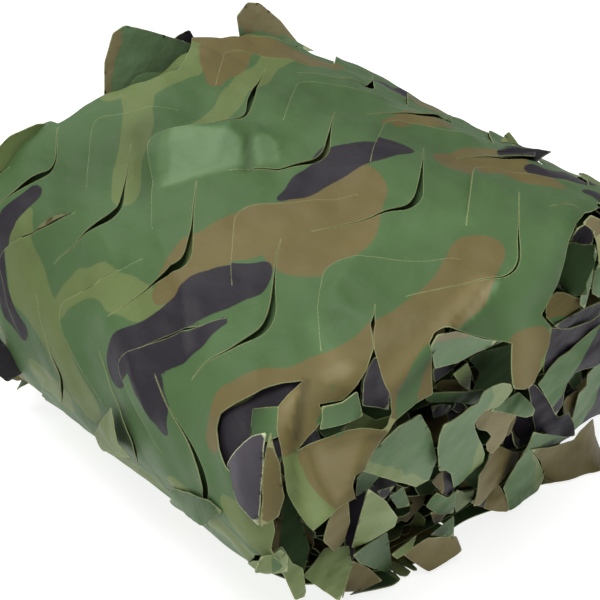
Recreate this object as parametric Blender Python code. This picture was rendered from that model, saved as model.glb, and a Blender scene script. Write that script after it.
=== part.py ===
"""Camouflage net of slit woodland cloth, wound into a thick, slightly flattened roll.

The roll lies on its side on a small flat spot. X runs along the roll's axis (+X is the near,
ragged end), Y across it, Z up. The outer turn is smooth but for its creases and its staggered
rows of bent slits; at both ends the cut edges of the turns stand out as ragged leaves of cloth.
All sizes are metres, apart from the tables, whose columns are millimetres and degrees.
"""
import math

import bmesh
import bpy
import numpy as np
from mathutils import Vector

MM = 0.001

# The wound form
HALF_WIDTH = 0.191            # half of the roll's width, at x = 0
HEIGHT = 0.274                # height of the roll, at x = 0
WIDENING = 0.227              # share of the width gained per metre towards +X
TOP_FALL = 0.111              # drop of the top per metre towards +X
BASE_SINK = 0.006             # how far the round form would dip below the floor: the flat spot
SHOULDER = 0.035              # length of the rounded shoulder at each end
FAR_DROP = 0.055              # share of the section lost at each shoulder's end
NEAR_DROP = 0.045
RIM_SCALLOP = 0.006           # how far the cut rim swings in and out between two slits
AROUND_STEPS = 46
BODY_STATIONS = 15

# Where the smooth outer turn stops. The turns have slipped along the axis, so the rims lean:
# around is the way round the roll from its top line, minus towards -Y
RIM_COLUMNS = ("around", "far_x", "near_x")
RIMS = (
    (-523, -170, 190),
    (-400, -170, 188),
    (-300, -160, 178),
    (-240, -148, 174),
    (-205, -138, 182),
    (-180, -130, 200),
    (-155, -118, 228),
    (-130, -104, 252),
    (-90, -94, 268),
    (-45, -86, 274),
    (-10, -90, 262),
    (30, -94, 242),
    (70, -97, 226),
    (120, -104, 214),
    (200, -124, 204),
    (300, -156, 196),
    (400, -170, 190),
    (523, -170, 190),
)
# The inner turns end on two leaning planes: x = foot + lean * z
FAR_FOOT = -0.152
FAR_LEAN = 0.28
NEAR_FOOT = 0.176
NEAR_LEAN = 0.22

# The slit pattern: two staggered families of bent slits on the outer turn
SLIT_PITCH_ALONG = 0.0785
SLIT_PITCH_AROUND = 0.1175
BACK_SLIT = {"apex": (0.0145, -0.1535), "upper": (-0.038, 0.044), "lower": (-0.030, -0.053)}
FRONT_SLIT = {"apex": (0.0150, -0.1090), "upper": (0.044, 0.056), "lower": (0.034, -0.040)}
SLIT_WIDTH = 0.0075
SLIT_DEPTH = 0.0055
SLIT_CLEAR = 0.005            # the cutter's height above the cloth
SLIT_STEPS = 5
SLIT_COLUMNS = range(-2, 5)
SLIT_ROWS = range(-4, 5)
SLIT_BASE_KEEP = 0.020        # no slit is opened lower than this on the resting side
SLIT_END_KEEP = 0.012

# Leaves of cloth
LEAF_THICKNESS = 0.0020
LEAF_STEPS = 3
FLOOR_KEEP = 0.0030

# Soft folds pressed into the outer turn: a line from (x0, a0) to (x1, a1), where a is the way
# round the roll from its top line (minus towards -Y), a rise (minus for a trough) and a spread
FOLD_COLUMNS = ("x0", "a0", "x1", "a1", "rise", "spread")
FOLDS = (
    (16, -112, 50, -46, 7, 17),
    (202, -128, 186, -80, 5, 14),
    (-20, -90, -60, -20, 5, 20),
    (122, -10, 190, 50, 6, 20),
    (60, -215, 130, -228, 5, 18),
    (-60, -170, -10, -200, -4, 22),
    (90, -60, 150, -70, -4, 24),
    (-90, -150, -60, -60, 4, 18),
    (150, -190, 190, -230, 6, 16),
    (40, 60, 120, 110, 6, 22),
    (-40, 130, 30, 190, 6, 20),
    (110, 190, 170, 240, 5, 20),
)

RIM_REACH = 0.80              # share of the section where the rim's own lean begins

# The turns seen at a ragged end: share of the section, and how far the turn stands out
TURN_COLUMNS = ("share", "out")
END_TURNS = (
    (0.94, 7),
    (0.86, -6),
    (0.77, 9),
    (0.68, -5),
    (0.57, 10),
    (0.46, -4),
    (0.33, 8),
    (0.17, -2),
)

# Leaves at the near end. Root and tip are points, the three widths run from root to tip, bow is
# how far the middle stands proud, turn rolls the leaf about its own length
LEAF_COLUMNS = ("root_x", "root_y", "root_z", "tip_x", "tip_y", "tip_z",
                "root_w", "mid_w", "tip_w", "bow", "turn")
NEAR_LEAVES = (
    # the outer turn's lower corner, hanging at the rim
    (186, -174, 170, 206, -189, 117, 30, 34, 10, 6, -35),
    (188, -160, 176, 210, -181, 114, 20, 22, 14, 6, -20),
    (206, -138, 186, 233, -162, 110, 46, 58, 16, 10, -15),
    (212, -122, 186, 236, -152, 170, 26, 30, 10, 5, 20),
    # the outer turn's upper edge, drooping over the end
    (232, -112, 204, 254, -134, 182, 44, 40, 26, 6, 5),
    (206, -92, 196, 242, -28, 184, 28, 26, 10, 6, 0),
    (232, 44, 226, 238, 72, 176, 40, 36, 16, 8, 10),
    (208, 92, 212, 228, 104, 160, 50, 42, 14, 7, -10),
    # the middle of the end
    (203, -104, 162, 230, -68, 94, 56, 62, 32, 9, 10),
    (199, -46, 134, 226, -38, 64, 34, 42, 14, 8, -12),
    (203, -52, 160, 236, 14, 126, 28, 34, 12, 7, 15),
    (207, 32, 190, 234, 60, 128, 50, 46, 18, 7, 10),
    (197, 78, 160, 228, 52, 90, 26, 22, 5, 6, 20),
    (197, 120, 176, 224, 126, 130, 40, 34, 12, 8, 0),
    (195, 96, 120, 224, 84, 74, 38, 34, 12, 7, -20),
    # the lower half of the end
    (195, -110, 116, 226, -132, 72, 28, 32, 8, 7, -30),
    (187, -106, 78, 212, -82, 16, 32, 30, 8, 6, 20),
    (181, -62, 48, 224, -44, 20, 36, 38, 34, 4, 5),
    (189, 38, 66, 214, 36, 18, 36, 34, 12, 6, -15),
    (187, 4, 68, 214, 2, 24, 28, 30, 12, 6, 15),
    (181, 96, 66, 218, 124, 20, 52, 56, 30, 6, 5),
    (181, -128, 66, 210, -140, 22, 38, 36, 12, 6, -10),
    (177, -158, 104, 210, -176, 60, 36, 34, 10, 6, 15),
    (167, -138, 44, 186, -160, 14, 30, 26, 10, 4, 30),
    (183, 150, 100, 212, 162, 52, 38, 34, 12, 6, -10),
    (183, 166, 146, 212, 176, 100, 36, 34, 12, 7, 15),
    (179, 142, 56, 208, 154, 18, 36, 34, 14, 6, 10),
    (191, -20, 100, 222, 6, 60, 36, 36, 12, 7, -25),
)
FAR_LEAVES = (
    # flaps that stand above the far rim
    (-84, -38, 246, -108, -46, 300, 70, 58, 26, 6, 5),
    (-84, 84, 244, -108, 72, 296, 54, 40, 20, 5, -10),
    (-86, 4, 256, -106, 8, 284, 26, 20, 8, 3, 20),
    (-110, -120, 190, -142, -132, 230, 56, 48, 16, 6, 10),
    (-94, -84, 226, -124, -96, 250, 44, 36, 12, 5, -15),
    (-92, 130, 208, -120, 140, 238, 46, 36, 10, 5, 10),
    # hanging and lying leaves
    (-113, -146, 140, -158, -154, 108, 44, 40, 12, 6, 20),
    (-139, -104, 62, -192, -102, 20, 48, 44, 16, 6, -10),
    (-143, -60, 48, -190, -56, 16, 44, 40, 12, 5, 10),
    (-143, 14, 52, -192, 8, 18, 48, 44, 14, 6, -10),
    (-141, 80, 52, -188, 88, 18, 44, 42, 14, 6, 10),
    (-135, 132, 84, -180, 142, 44, 42, 38, 12, 6, -15),
    (-117, 150, 146, -164, 158, 114, 40, 36, 12, 6, 15),
    (-97, 0, 216, -146, 4, 172, 52, 46, 14, 8, 10),
    (-101, 70, 196, -150, 78, 152, 48, 44, 14, 8, -15),
    (-101, -66, 190, -150, -76, 146, 50, 46, 14, 8, 15),
    (-117, -10, 146, -166, -16, 104, 48, 44, 14, 8, -10),
    (-121, 84, 122, -170, 90, 86, 46, 42, 12, 7, 10),
    (-123, -86, 112, -174, -92, 76, 44, 42, 12, 7, -10),
)
# Tongues of the outer turn that stand out near the floor, and small ones along the back
SIDE_TABS = (
    (-130, -110, 36, -140, -132, 14, 40, 34, 14, 4, 10),
    (-62, -114, 34, -66, -136, 14, 34, 30, 12, 4, 10),
    (22, -114, 34, 28, -138, 14, 36, 30, 10, 4, -10),
    (108, -116, 34, 112, -138, 14, 34, 30, 10, 4, 10),
    (138, 78, 236, 182, 108, 252, 44, 32, 8, 3, 0),
    (60, 92, 238, 78, 120, 246, 40, 28, 8, 3, 10),
    (0, 92, 244, 16, 120, 252, 38, 28, 8, 3, -10),
    (20, 118, 36, 26, 158, 16, 38, 30, 10, 5, 10),
    (110, 120, 36, 116, 162, 16, 38, 30, 10, 5, -10),
    (-60, 116, 36, -66, 154, 16, 36, 30, 10, 5, 10),
)

CLOTH_GREEN = (0.108, 0.168, 0.088, 1.0)
CLOTH_ROUGHNESS = 0.55


def clear_scene():
    for item in list(bpy.data.objects):
        bpy.data.objects.remove(item, do_unlink=True)


def cloth_material():
    material = bpy.data.materials.new("woodland_cloth")
    material.use_nodes = True
    shader = material.node_tree.nodes["Principled BSDF"]
    shader.inputs["Base Color"].default_value = CLOTH_GREEN
    shader.inputs["Roughness"].default_value = CLOTH_ROUGHNESS
    shader.inputs["Metallic"].default_value = 0.0
    return material


def rim_table():
    """The rim table's columns as arrays in metres."""
    rows = np.array(RIMS, dtype=float) * MM
    return {name: rows[:, number] for number, name in enumerate(RIM_COLUMNS)}


RIM = rim_table()


def rims(around):
    """The x of the far and of the near rim, at a place round the roll."""
    swing = RIM_SCALLOP * math.cos(2 * math.pi * around / SLIT_PITCH_AROUND + 0.8)
    far = float(np.interp(around, RIM["around"], RIM["far_x"]))
    near = float(np.interp(around, RIM["around"], RIM["near_x"]))
    return far - swing, near + swing


def shoulder(x, around):
    """Share of the full section left at x: both ends round off."""
    far_x, near_x = rims(around)
    far = min(1.0, max(0.0, (far_x + SHOULDER - x) / SHOULDER))
    near = min(1.0, max(0.0, (x - near_x + SHOULDER) / SHOULDER))
    return 1.0 - FAR_DROP * far ** 2 - NEAR_DROP * near ** 2


def section(x):
    """Half width, half height and centre height of the wound form at x."""
    half_width = HALF_WIDTH * (1.0 + WIDENING * x)
    top = HEIGHT - TOP_FALL * x
    half_height = (top + BASE_SINK) / 2.0
    return half_width, half_height, top - half_height


def angle_table(count=720):
    """Arc length round the section at x = 0, from the top line, against the angle."""
    half_width, half_height, _ = section(0.0)
    angles = np.linspace(-math.pi, math.pi, 2 * count + 1)
    across = half_width * np.sin(angles)
    upward = half_height * np.cos(angles)
    lengths = np.concatenate(([0.0], np.cumsum(np.hypot(np.diff(across), np.diff(upward)))))
    return lengths - lengths[count], angles


ARC_LENGTHS, ARC_ANGLES = angle_table()
PERIMETER = ARC_LENGTHS[-1] - ARC_LENGTHS[0]


def fold_rise(x, around):
    """Height that the pressed folds add to the cloth at x and around."""
    rise = 0.0
    for row in FOLDS:
        fold = dict(zip(FOLD_COLUMNS, row))
        start = Vector((fold["x0"] * MM, fold["a0"] * MM))
        run = Vector((fold["x1"] * MM, fold["a1"] * MM)) - start
        offset = Vector((x, around)) - start
        along = min(1.0, max(0.0, offset.dot(run) / run.length_squared))
        distance = (offset - run * along).length / (fold["spread"] * MM)
        rise += fold["rise"] * MM * math.exp(-distance * distance)
    return rise


def roll_point(x, around, share=1.0, lift=0.0):
    """A point of the outer turn, or of an inner one at a share of the section."""
    half_width, half_height, middle = section(x)
    angle = float(np.interp(around, ARC_LENGTHS, ARC_ANGLES))
    outward = Vector((0.0, math.sin(angle) / half_width, math.cos(angle) / half_height)).normalized()
    point = Vector((x, half_width * share * math.sin(angle),
                    middle + half_height * share * math.cos(angle)))
    point += outward * lift
    point.z = max(0.0, point.z)
    return point


def new_object(name, mesh_builder, material, group=None):
    mesh = bpy.data.meshes.new(name)
    bmesh.ops.recalc_face_normals(mesh_builder, faces=mesh_builder.faces)
    bmesh.ops.triangulate(mesh_builder, faces=mesh_builder.faces)
    mesh_builder.to_mesh(mesh)
    mesh_builder.free()
    made = bpy.data.objects.new(name, mesh)
    made.data.materials.append(material)
    (group or bpy.context.scene.collection).objects.link(made)
    return made


def make_guide(guide):
    """Mark an object as a tool of the shape, not a piece of it."""
    guide.hide_render = True
    guide.display_type = "WIRE"


def end_rings(rim_side):
    """Rings of the turns at one end, from the rim to the middle. rim_side 0 is the far end."""
    outward = (-1.0, 1.0)[rim_side]
    foot, lean, drop = ((FAR_FOOT, FAR_LEAN, FAR_DROP), (NEAR_FOOT, NEAR_LEAN, NEAR_DROP))[rim_side]
    rings = []
    for number, row in enumerate(END_TURNS):
        turn = dict(zip(TURN_COLUMNS, row))
        ring = []
        for step in range(AROUND_STEPS):
            way = step / AROUND_STEPS
            around = (way - 0.5) * PERIMETER
            wave = 0.0035 * math.sin(2 * math.pi * (3 + number) * way + 1.7 * number)
            share = turn["share"] + 0.018 * math.sin(2 * math.pi * 2 * way + number)
            rim_x = rims(around)[rim_side]
            place = roll_point(rim_x, around, share * (1.0 - drop))
            plane_x = foot + lean * place.z
            rim_pull = max(0.0, (turn["share"] - RIM_REACH) / (1.0 - RIM_REACH))
            x = plane_x + (rim_x - plane_x) * rim_pull
            point = roll_point(x, around, share * (1.0 - drop))
            point.x += outward * (turn["out"] * MM + wave)
            point.z += 0.004 * (1.0 - turn["share"])
            ring.append(point)
        rings.append(ring)
    return rings


def wound_form(material):
    """The closed wound form: outer turn, rounded shoulders and ridged ends."""
    rings = list(reversed(end_rings(0)))
    for station in range(BODY_STATIONS + 1):
        ring = []
        for step in range(AROUND_STEPS):
            around = (step / AROUND_STEPS - 0.5) * PERIMETER
            far_x, near_x = rims(around)
            x = far_x + (near_x - far_x) * station / BODY_STATIONS
            ring.append(roll_point(x, around, shoulder(x, around), fold_rise(x, around)))
        rings.append(ring)
    rings += end_rings(1)
    builder = bmesh.new()
    rows = [[builder.verts.new(point) for point in ring] for ring in rings]
    for lower, upper in zip(rows, rows[1:]):
        for step in range(AROUND_STEPS):
            after = (step + 1) % AROUND_STEPS
            builder.faces.new((lower[step], lower[after], upper[after], upper[step]))
    for row in (rows[0], rows[-1]):
        middle = builder.verts.new(sum((vertex.co for vertex in row), Vector()) / AROUND_STEPS)
        for step in range(AROUND_STEPS):
            builder.faces.new((row[step], row[(step + 1) % AROUND_STEPS], middle))
    return new_object("slit_cloth_roll", builder, material)


def slit_path(shape, column, row):
    """Points (x, around) of one bent slit, from its upper end by its apex to its lower end."""
    apex = Vector(shape["apex"]) + Vector((column * SLIT_PITCH_ALONG, row * SLIT_PITCH_AROUND))
    upper = apex + Vector(shape["upper"])
    lower = apex + Vector(shape["lower"])
    bend = apex * 2.0 - (upper + lower) / 2.0
    bend = apex + (bend - apex) * 0.55
    path = []
    for step in range(SLIT_STEPS + 1):
        way = step / SLIT_STEPS
        path.append(upper * (1 - way) ** 2 + bend * 2 * way * (1 - way) + lower * way ** 2)
    return path


def slit_fits(path):
    """Whether a slit lies on the outer turn, clear of the ends and of the resting side."""
    for x, around in path:
        far_x, near_x = rims(around)
        if not far_x + SLIT_END_KEEP < x < near_x - SLIT_END_KEEP:
            return False
        if abs(around) > PERIMETER / 2 - 0.01:
            return False
        if roll_point(x, around).z < SLIT_BASE_KEEP:
            return False
    return True


def add_slit_wedge(builder, path):
    """A wedge along the slit, widest and deepest in its middle."""
    rows = []
    for step, (x, around) in enumerate(path):
        before = path[max(0, step - 1)]
        after = path[min(len(path) - 1, step + 1)]
        run = (after - before).normalized()
        side = Vector((-run.y, run.x))
        fullness = 0.25 + 0.75 * math.sin(math.pi * step / (len(path) - 1))
        half = side * (SLIT_WIDTH / 2 * fullness)
        share = shoulder(x, around)
        lift = fold_rise(x, around)
        top = lift + SLIT_CLEAR
        rows.append((
            builder.verts.new(roll_point(x + half.x, around + half.y, share, top)),
            builder.verts.new(roll_point(x - half.x, around - half.y, share, top)),
            builder.verts.new(roll_point(x, around, share, lift - SLIT_DEPTH * fullness)),
        ))
    for first, second in zip(rows, rows[1:]):
        for corner in range(3):
            after = (corner + 1) % 3
            builder.faces.new((first[corner], first[after], second[after], second[corner]))
    builder.faces.new(rows[0])
    builder.faces.new(rows[-1])


def slit_cutter(material):
    builder = bmesh.new()
    for shape in (BACK_SLIT, FRONT_SLIT):
        for column in SLIT_COLUMNS:
            for row in SLIT_ROWS:
                path = slit_path(shape, column, row)
                if slit_fits(path):
                    add_slit_wedge(builder, path)
    cutter = new_object("slit_cutter", builder, material)
    make_guide(cutter)
    return cutter


def leaf_body(name, row, on_side, material, group):
    """A thin bowed plate from root to tip, four sides in section."""
    leaf = dict(zip(LEAF_COLUMNS, row))
    root = Vector((leaf["root_x"], leaf["root_y"], leaf["root_z"])) * MM
    tip = Vector((leaf["tip_x"], leaf["tip_y"], leaf["tip_z"])) * MM
    run = (tip - root).normalized()
    outward = Vector((0.0, root.y, root.z - HEIGHT / 2)).normalized()
    face = outward if on_side else outward * 0.5 + Vector((math.copysign(1.0, root.x), 0.0, 0.2))
    face = (face - run * face.dot(run)).normalized()
    side = run.cross(face).normalized()
    builder = bmesh.new()
    turn = math.radians(leaf["turn"])
    face, side = (face * math.cos(turn) + side * math.sin(turn),
                  side * math.cos(turn) - face * math.sin(turn))
    rows = []
    for step in range(LEAF_STEPS + 1):
        way = step / LEAF_STEPS
        first_half = way < 0.5
        share = way * 2 if first_half else way * 2 - 1
        start = leaf["root_w"] if first_half else leaf["mid_w"]
        stop = leaf["mid_w"] if first_half else leaf["tip_w"]
        half_width = (start + (stop - start) * share ** (0.7 if first_half else 1.6)) * MM / 2
        middle = root.lerp(tip, way) + face * (leaf["bow"] * MM * math.sin(math.pi * way))
        thick = face * (LEAF_THICKNESS / 2)
        corners = (middle - side * half_width - thick, middle + side * half_width - thick,
                   middle + side * half_width + thick, middle - side * half_width + thick)
        lowest = min(corner.z for corner in corners)
        raise_by = Vector((0.0, 0.0, max(0.0, FLOOR_KEEP - lowest)))
        rows.append([builder.verts.new(corner + raise_by) for corner in corners])
    for first, second in zip(rows, rows[1:]):
        for corner in range(4):
            after = (corner + 1) % 4
            builder.faces.new((first[corner], first[after], second[after], second[corner]))
    builder.faces.new(rows[0])
    builder.faces.new(rows[-1])
    make_guide(new_object(name, builder, material, group))


def leaf_bodies(material):
    """All leaves, gathered in one collection."""
    group = bpy.data.collections.new("leaf_bodies")
    bpy.context.scene.collection.children.link(group)
    for number, row in enumerate(NEAR_LEAVES + FAR_LEAVES):
        leaf_body(f"end_leaf_{number:02d}", row, False, material, group)
    for number, row in enumerate(SIDE_TABS):
        leaf_body(f"side_tab_{number:02d}", row, True, material, group)
    return group


def cut_slits(roll, cutter):
    modifier = roll.modifiers.new("slits", "BOOLEAN")
    modifier.operation = "DIFFERENCE"
    modifier.solver = "EXACT"
    modifier.object = cutter


def join_leaves(roll, group):
    modifier = roll.modifiers.new("leaves", "BOOLEAN")
    modifier.operation = "UNION"
    modifier.solver = "EXACT"
    modifier.operand_type = "COLLECTION"
    modifier.collection = group


def main():
    clear_scene()
    material = cloth_material()
    roll = wound_form(material)
    cut_slits(roll, slit_cutter(material))
    join_leaves(roll, leaf_bodies(material))


main()
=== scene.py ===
import math

import bmesh
import bpy
import numpy as np
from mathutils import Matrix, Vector
from mathutils.geometry import delaunay_2d_cdt
from mathutils.kdtree import KDTree

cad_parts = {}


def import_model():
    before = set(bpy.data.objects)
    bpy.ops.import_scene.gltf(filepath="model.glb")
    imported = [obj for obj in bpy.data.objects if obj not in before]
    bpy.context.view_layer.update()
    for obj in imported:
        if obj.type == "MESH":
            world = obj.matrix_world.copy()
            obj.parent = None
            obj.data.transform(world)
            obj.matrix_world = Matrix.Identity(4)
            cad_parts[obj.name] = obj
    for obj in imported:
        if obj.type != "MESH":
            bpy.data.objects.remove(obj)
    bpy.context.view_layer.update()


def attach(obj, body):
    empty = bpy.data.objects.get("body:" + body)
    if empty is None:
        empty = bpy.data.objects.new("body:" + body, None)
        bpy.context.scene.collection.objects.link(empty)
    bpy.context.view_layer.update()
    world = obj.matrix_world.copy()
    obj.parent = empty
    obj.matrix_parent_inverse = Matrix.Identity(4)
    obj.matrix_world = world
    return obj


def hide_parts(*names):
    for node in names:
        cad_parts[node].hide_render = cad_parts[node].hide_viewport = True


# Looks of a woodland camouflage net wound into a thick flattened roll. X runs along the roll's
# axis, towards its ragged near end, Y across it, Z up. Lengths are metres; tables are millimetres.

MM = 0.001
CLOTH_NODE = "slit_cloth_roll"
CLOTH_THICKNESS = 0.7 * MM

# ---------------------------------------------------------------- the roll's form

HALF_WIDTH = 0.191
HEIGHT = 0.274
WIDENING = 0.227              # share of the width gained per metre towards +X
TOP_FALL = 0.111              # drop of the top per metre towards +X
BASE_SINK = 0.006             # how far the round form would dip below the floor: the flat spot
SHOULDER = 0.035              # length of the rounded shoulder at each end
FAR_DROP = 0.055              # share of the section lost at each shoulder's end
NEAR_DROP = 0.045
SHOULDER_MOST = 1.4           # a shoulder goes on rounding for this many of its lengths
REST_LIFT = 0.0012            # the lowest that any cloth lies above the floor
FLOOR_SOFT = 0.004            # how softly a turn comes to lie on the floor
COVER_LEAST = 0.2             # the least share of the section that cover leaves to what is inside
ANGLE_STEPS = 720             # steps of the table of lengths round half the section
WAVE_COUNT = 7                # how many waves make up a ripple
WAVE_SPREAD = (0.6, 1.6)      # how much shorter and longer they are than its own length

# Where the outer turn stops; around is the way round the roll from its top line, minus to -Y
RIM_COLUMNS = {"around": MM, "far_x": MM, "near_x": MM}
RIMS = (
    (-523, -170, 190),
    (-400, -170, 188),
    (-300, -160, 178),
    (-240, -148, 174),
    (-205, -138, 182),
    (-180, -130, 200),
    (-155, -118, 228),
    (-130, -104, 252),
    (-90, -94, 268),
    (-45, -86, 274),
    (-10, -90, 262),
    (30, -94, 242),
    (70, -97, 226),
    (120, -104, 214),
    (200, -124, 204),
    (300, -156, 196),
    (400, -170, 190),
    (523, -170, 190),
)
RIM_SCALLOP, RIM_PHASE = 0.006, 0.8
# The inner turns end on two leaning planes, x = foot + lean * z: by end, -1 the far and 1 the near
END_PLANES = {-1: (-0.160, 0.28), 1: (0.170, 0.25)}
END_FOOT, END_LEAN = 0.196, 0.25      # the plane that the near end's leaves lie about

# Beyond bend_x the outer turn droops over the near end, by up to that many degrees
DROOP_RADIUS = 0.024
LIMP_ANGLE = math.radians(45)         # a rim that droops this far doesn't round off
DROOP_ROOM, DROOP_ROOM_ANGLE = 24 * MM, math.radians(66)    # how much deeper it sends the inner turns
ROOM_FROM, ROOM_OVER = 0.55, 0.3      # from which share of the section out, and over how much more
DROOP_COLUMNS = {"around": MM, "bend_x": MM, "degrees": math.radians(1)}
DROOPS = (
    (-523, 200, 10),
    (-360, 200, 20),
    (-310, 202, 45),
    (-250, 206, 62),
    (-200, 208, 66),
    (-165, 212, 66),
    (-130, 228, 68),
    (-90, 238, 70),
    (-45, 242, 76),
    (0, 236, 74),
    (30, 226, 60),
    (70, 214, 40),
    (120, 205, 25),
    (200, 200, 15),
    (523, 200, 10),
)

# The outer turn's near edge where it is torn into tongues, as (x, around), from the low front
# corner over the top; it starts and ends on the plain rim
NEAR_EDGE = (
    (196, -316), (212, -308), (222, -300), (220, -281), (224, -265), (222, -246), (210, -240),
    (191, -235), (182, -228), (176, -220), (175, -211), (180, -202), (190, -187), (201, -176),
    (212, -169), (208, -179), (206, -189), (211, -200), (217, -208), (224, -221), (229, -236),
    (236, -250), (245, -269), (258, -252), (268, -240), (265, -230), (263, -218), (268, -214),
    (268, -198), (269, -178), (270, -166), (274, -146), (279, -133), (272, -126), (263, -118),
    (255, -113), (253, -105), (255, -99), (259, -96), (269, -89), (279, -80), (290, -67),
    (312, -87), (317, -79), (319, -65), (315, -52), (305, -39), (295, -32), (291, -35),
    (285, -38), (279, -28), (274, -19), (266, -5), (257, 6), (250, 15), (242, 28), (234, 47),
    (233, 56), (230, 66),
)
# The outer turn's far edge where it shows over the top
FAR_EDGE = (
    (-86, -126), (-82, -110), (-84, -94), (-82, -86), (-74, -78), (-56, -64), (-50, -56), (-50, -42),
    (-62, -26), (-82, -6), (-96, 6), (-92, 14), (-82, 22), (-82, 40), (-92, 62),
)
# The wide opening above the longest tongue; it starts where a slit runs into it
OPENING = (
    (235, -133), (247, -145), (258, -153), (265, -162), (267, -172), (265, -177), (254, -181),
    (247, -186), (241, -193), (235, -198), (231, -202), (227, -208), (229, -198), (231, -191),
    (232, -183), (229, -179), (226, -177), (235, -169), (238, -156), (238, -146),
)
# The second turn's near edge: it shows in the gap under the arch
SECOND_COLUMNS = {"around": MM, "near_x": MM}
SECOND_EDGE = (
    (-523, 174), (-310, 172), (-270, 182), (-246, 212), (-224, 220), (-190, 220), (-172, 214),
    (-150, 218), (-120, 240), (-60, 264), (-10, 264), (10, 248), (30, 228), (70, 204), (120, 198),
    (200, 188), (523, 174),
)

# Slits, as three points (x, around): upper end, bend and lower end. A back slit bends towards +X,
# a front slit towards -X. gap is how far its lips part, lift how far the tongue inside the bend
# stands up and reach how far back from the slit it does so.
SLIT_PITCH_ALONG = 78.5
SLIT_PITCH_AROUND = 117.5
BACK_SLIT = ((-24, -110), (14, -153), (-16, -206))
FRONT_SLIT = ((59, -53), (15, -109), (49, -149))
SLIT_COLUMNS = ("kind", "up_x", "up_a", "bend_x", "bend_a", "low_x", "low_a", "gap", "lift", "reach")
SLITS = (
    ("back", -18, -110, 14, -152, -18, -204, 4.7, 3.0, 13),
    ("back", 52, -108, 90, -152, 60, -206, 5.7, 3.4, 13),
    ("back", 132, -108, 170, -154, 142, -206, 5.2, 3.6, 13),
    ("back", 218, -112, 228, -123, 235, -133, 2.2, 1.2, 13),
    ("back", -26, 16, 22, -42, 2, -74, 3.7, 4.0, 13),
    ("back", 54, 8, 94, -38, 60, -88, 3.8, 5.0, 13),
    ("back", 126, 18, 174, -36, 142, -92, 4.4, 3.2, 13),
    ("back", 200, 24, 256, -42, 226, -96, 1.2, 1.6, 13),
    ("back", 56, -230, 96, -280, 66, -326, 3.1, 2.6, 13),
    ("back", 116, -216, 174, -256, 152, -318, 5.8, 3.2, 13),
    ("back", -24, -228, 14, -272, -16, -324, 3.1, 2.4, 13),
    ("front", -16, -70, -58, -110, -26, -150, 0.9, 2.4, 13),
    ("front", 44, -46, 12, -106, 50, -148, 2.4, 7.0, 30),
    ("front", 140, -52, 94, -108, 128, -148, 1.4, 3.2, 13),
    ("front", 228, -56, 178, -110, 210, -150, 0.9, 3.0, 13),
    ("front", -12, 62, -56, 8, -22, -32, 3.0, 3.0, 13),
    ("front", 50, 72, 12, 16, 46, -30, 5.0, 3.8, 11),
    ("front", 128, 78, 88, 24, 126, -28, 4.6, 3.4, 11),
    ("front", 204, 76, 166, 24, 210, -32, 4.0, 3.0, 11),
    ("front", -20, -168, -70, -222, -34, -266, 3.2, 2.6, 13),
    ("front", 58, -167, 8, -224, 64, -268, 3.6, 3.2, 13),
    ("front", 138, -166, 88, -222, 130, -260, 4.2, 4.0, 13),
    ("back", -24, 125, 16, 80, -10, 32, 5.0, 3.0, 13),
    ("back", 56, 125, 90, 80, 64, 28, 7.0, 7.0, 13),
    ("back", 134, 125, 168, 82, 142, 32, 7.5, 8.0, 13),
)
CHARTED_COLUMNS = range(-1, 4)      # the lattice places that the table above fills
CHARTED_ROWS = (-1, 0, 1)

# Soft folds of the outer turn: a rise (minus for a trough), a spread, whether it is pressed sharp,
# and the places (x, around) that it runs through
FOLD_COLUMNS = ("rise", "spread", "pressed", "path")
FOLDS = (
    (11, 15, 0, ((14, -108), (50, -58))),
    (5, 14, 0, ((202, -128), (186, -80))),
    (5, 20, 0, ((-20, -90), (-60, -20))),
    (9, 22, 0, ((-100, -10), (-90, 60))),
    (4, 18, 0, ((122, -20), (180, 10))),
    (5, 18, 0, ((60, -215), (130, -228))),
    (-4, 22, 0, ((-60, -170), (-10, -200))),
    (-4, 24, 0, ((90, -60), (150, -70))),
    (4, 18, 0, ((-90, -150), (-60, -60))),
    (6, 16, 0, ((150, -190), (190, -230))),
    (-3, 26, 0, ((30, 90), (170, 100))),
    (6, 20, 0, ((-40, 130), (30, 190))),
    (5, 20, 0, ((110, 190), (170, 240))),
    (1.6, 4, 1, ((197, -126), (188, -92))),
    (1.4, 4, 1, ((192, -136), (214, -122))),
    (3.2, 7, 1, ((96, -214), (122, -240))),
    (2.0, 4, 1, ((40, -62), (50, -90))),
    (-2.4, 4, 1, ((53, -62), (67, -80))),
    (2.0, 7, 1, ((70, 0), (90, 30))),
    (2.4, 7, 1, ((-64, -194), (-44, -206))),
    (1.8, 8, 1, ((10, -168), (40, -180))),
    (2.2, 8, 1, ((20, -222), (60, -206))),
    (2.0, 8, 1, ((-30, -60), (-6, -20))),
    (-3.0, 5, 1, ((212, -191), (219, -204), (227, -221), (234, -238))),
    (2.6, 5, 1, ((265, -177), (265, -190), (262, -204), (263, -220))),
    (3.4, 6, 1, ((254, -74), (257, -88), (257, -97), (257, -114), (256, -129), (255, -142), (255, -151))),
    (1.4, 4, 1, ((196, -121), (210, -124))),
    (1.2, 4, 1, ((190, -123), (192, -113))),
    (-2.4, 6, 1, ((28, -124), (56, -92), (80, -66))),
    (2.2, 5, 1, ((60, -150), (100, -168), (130, -196))),
)

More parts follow.
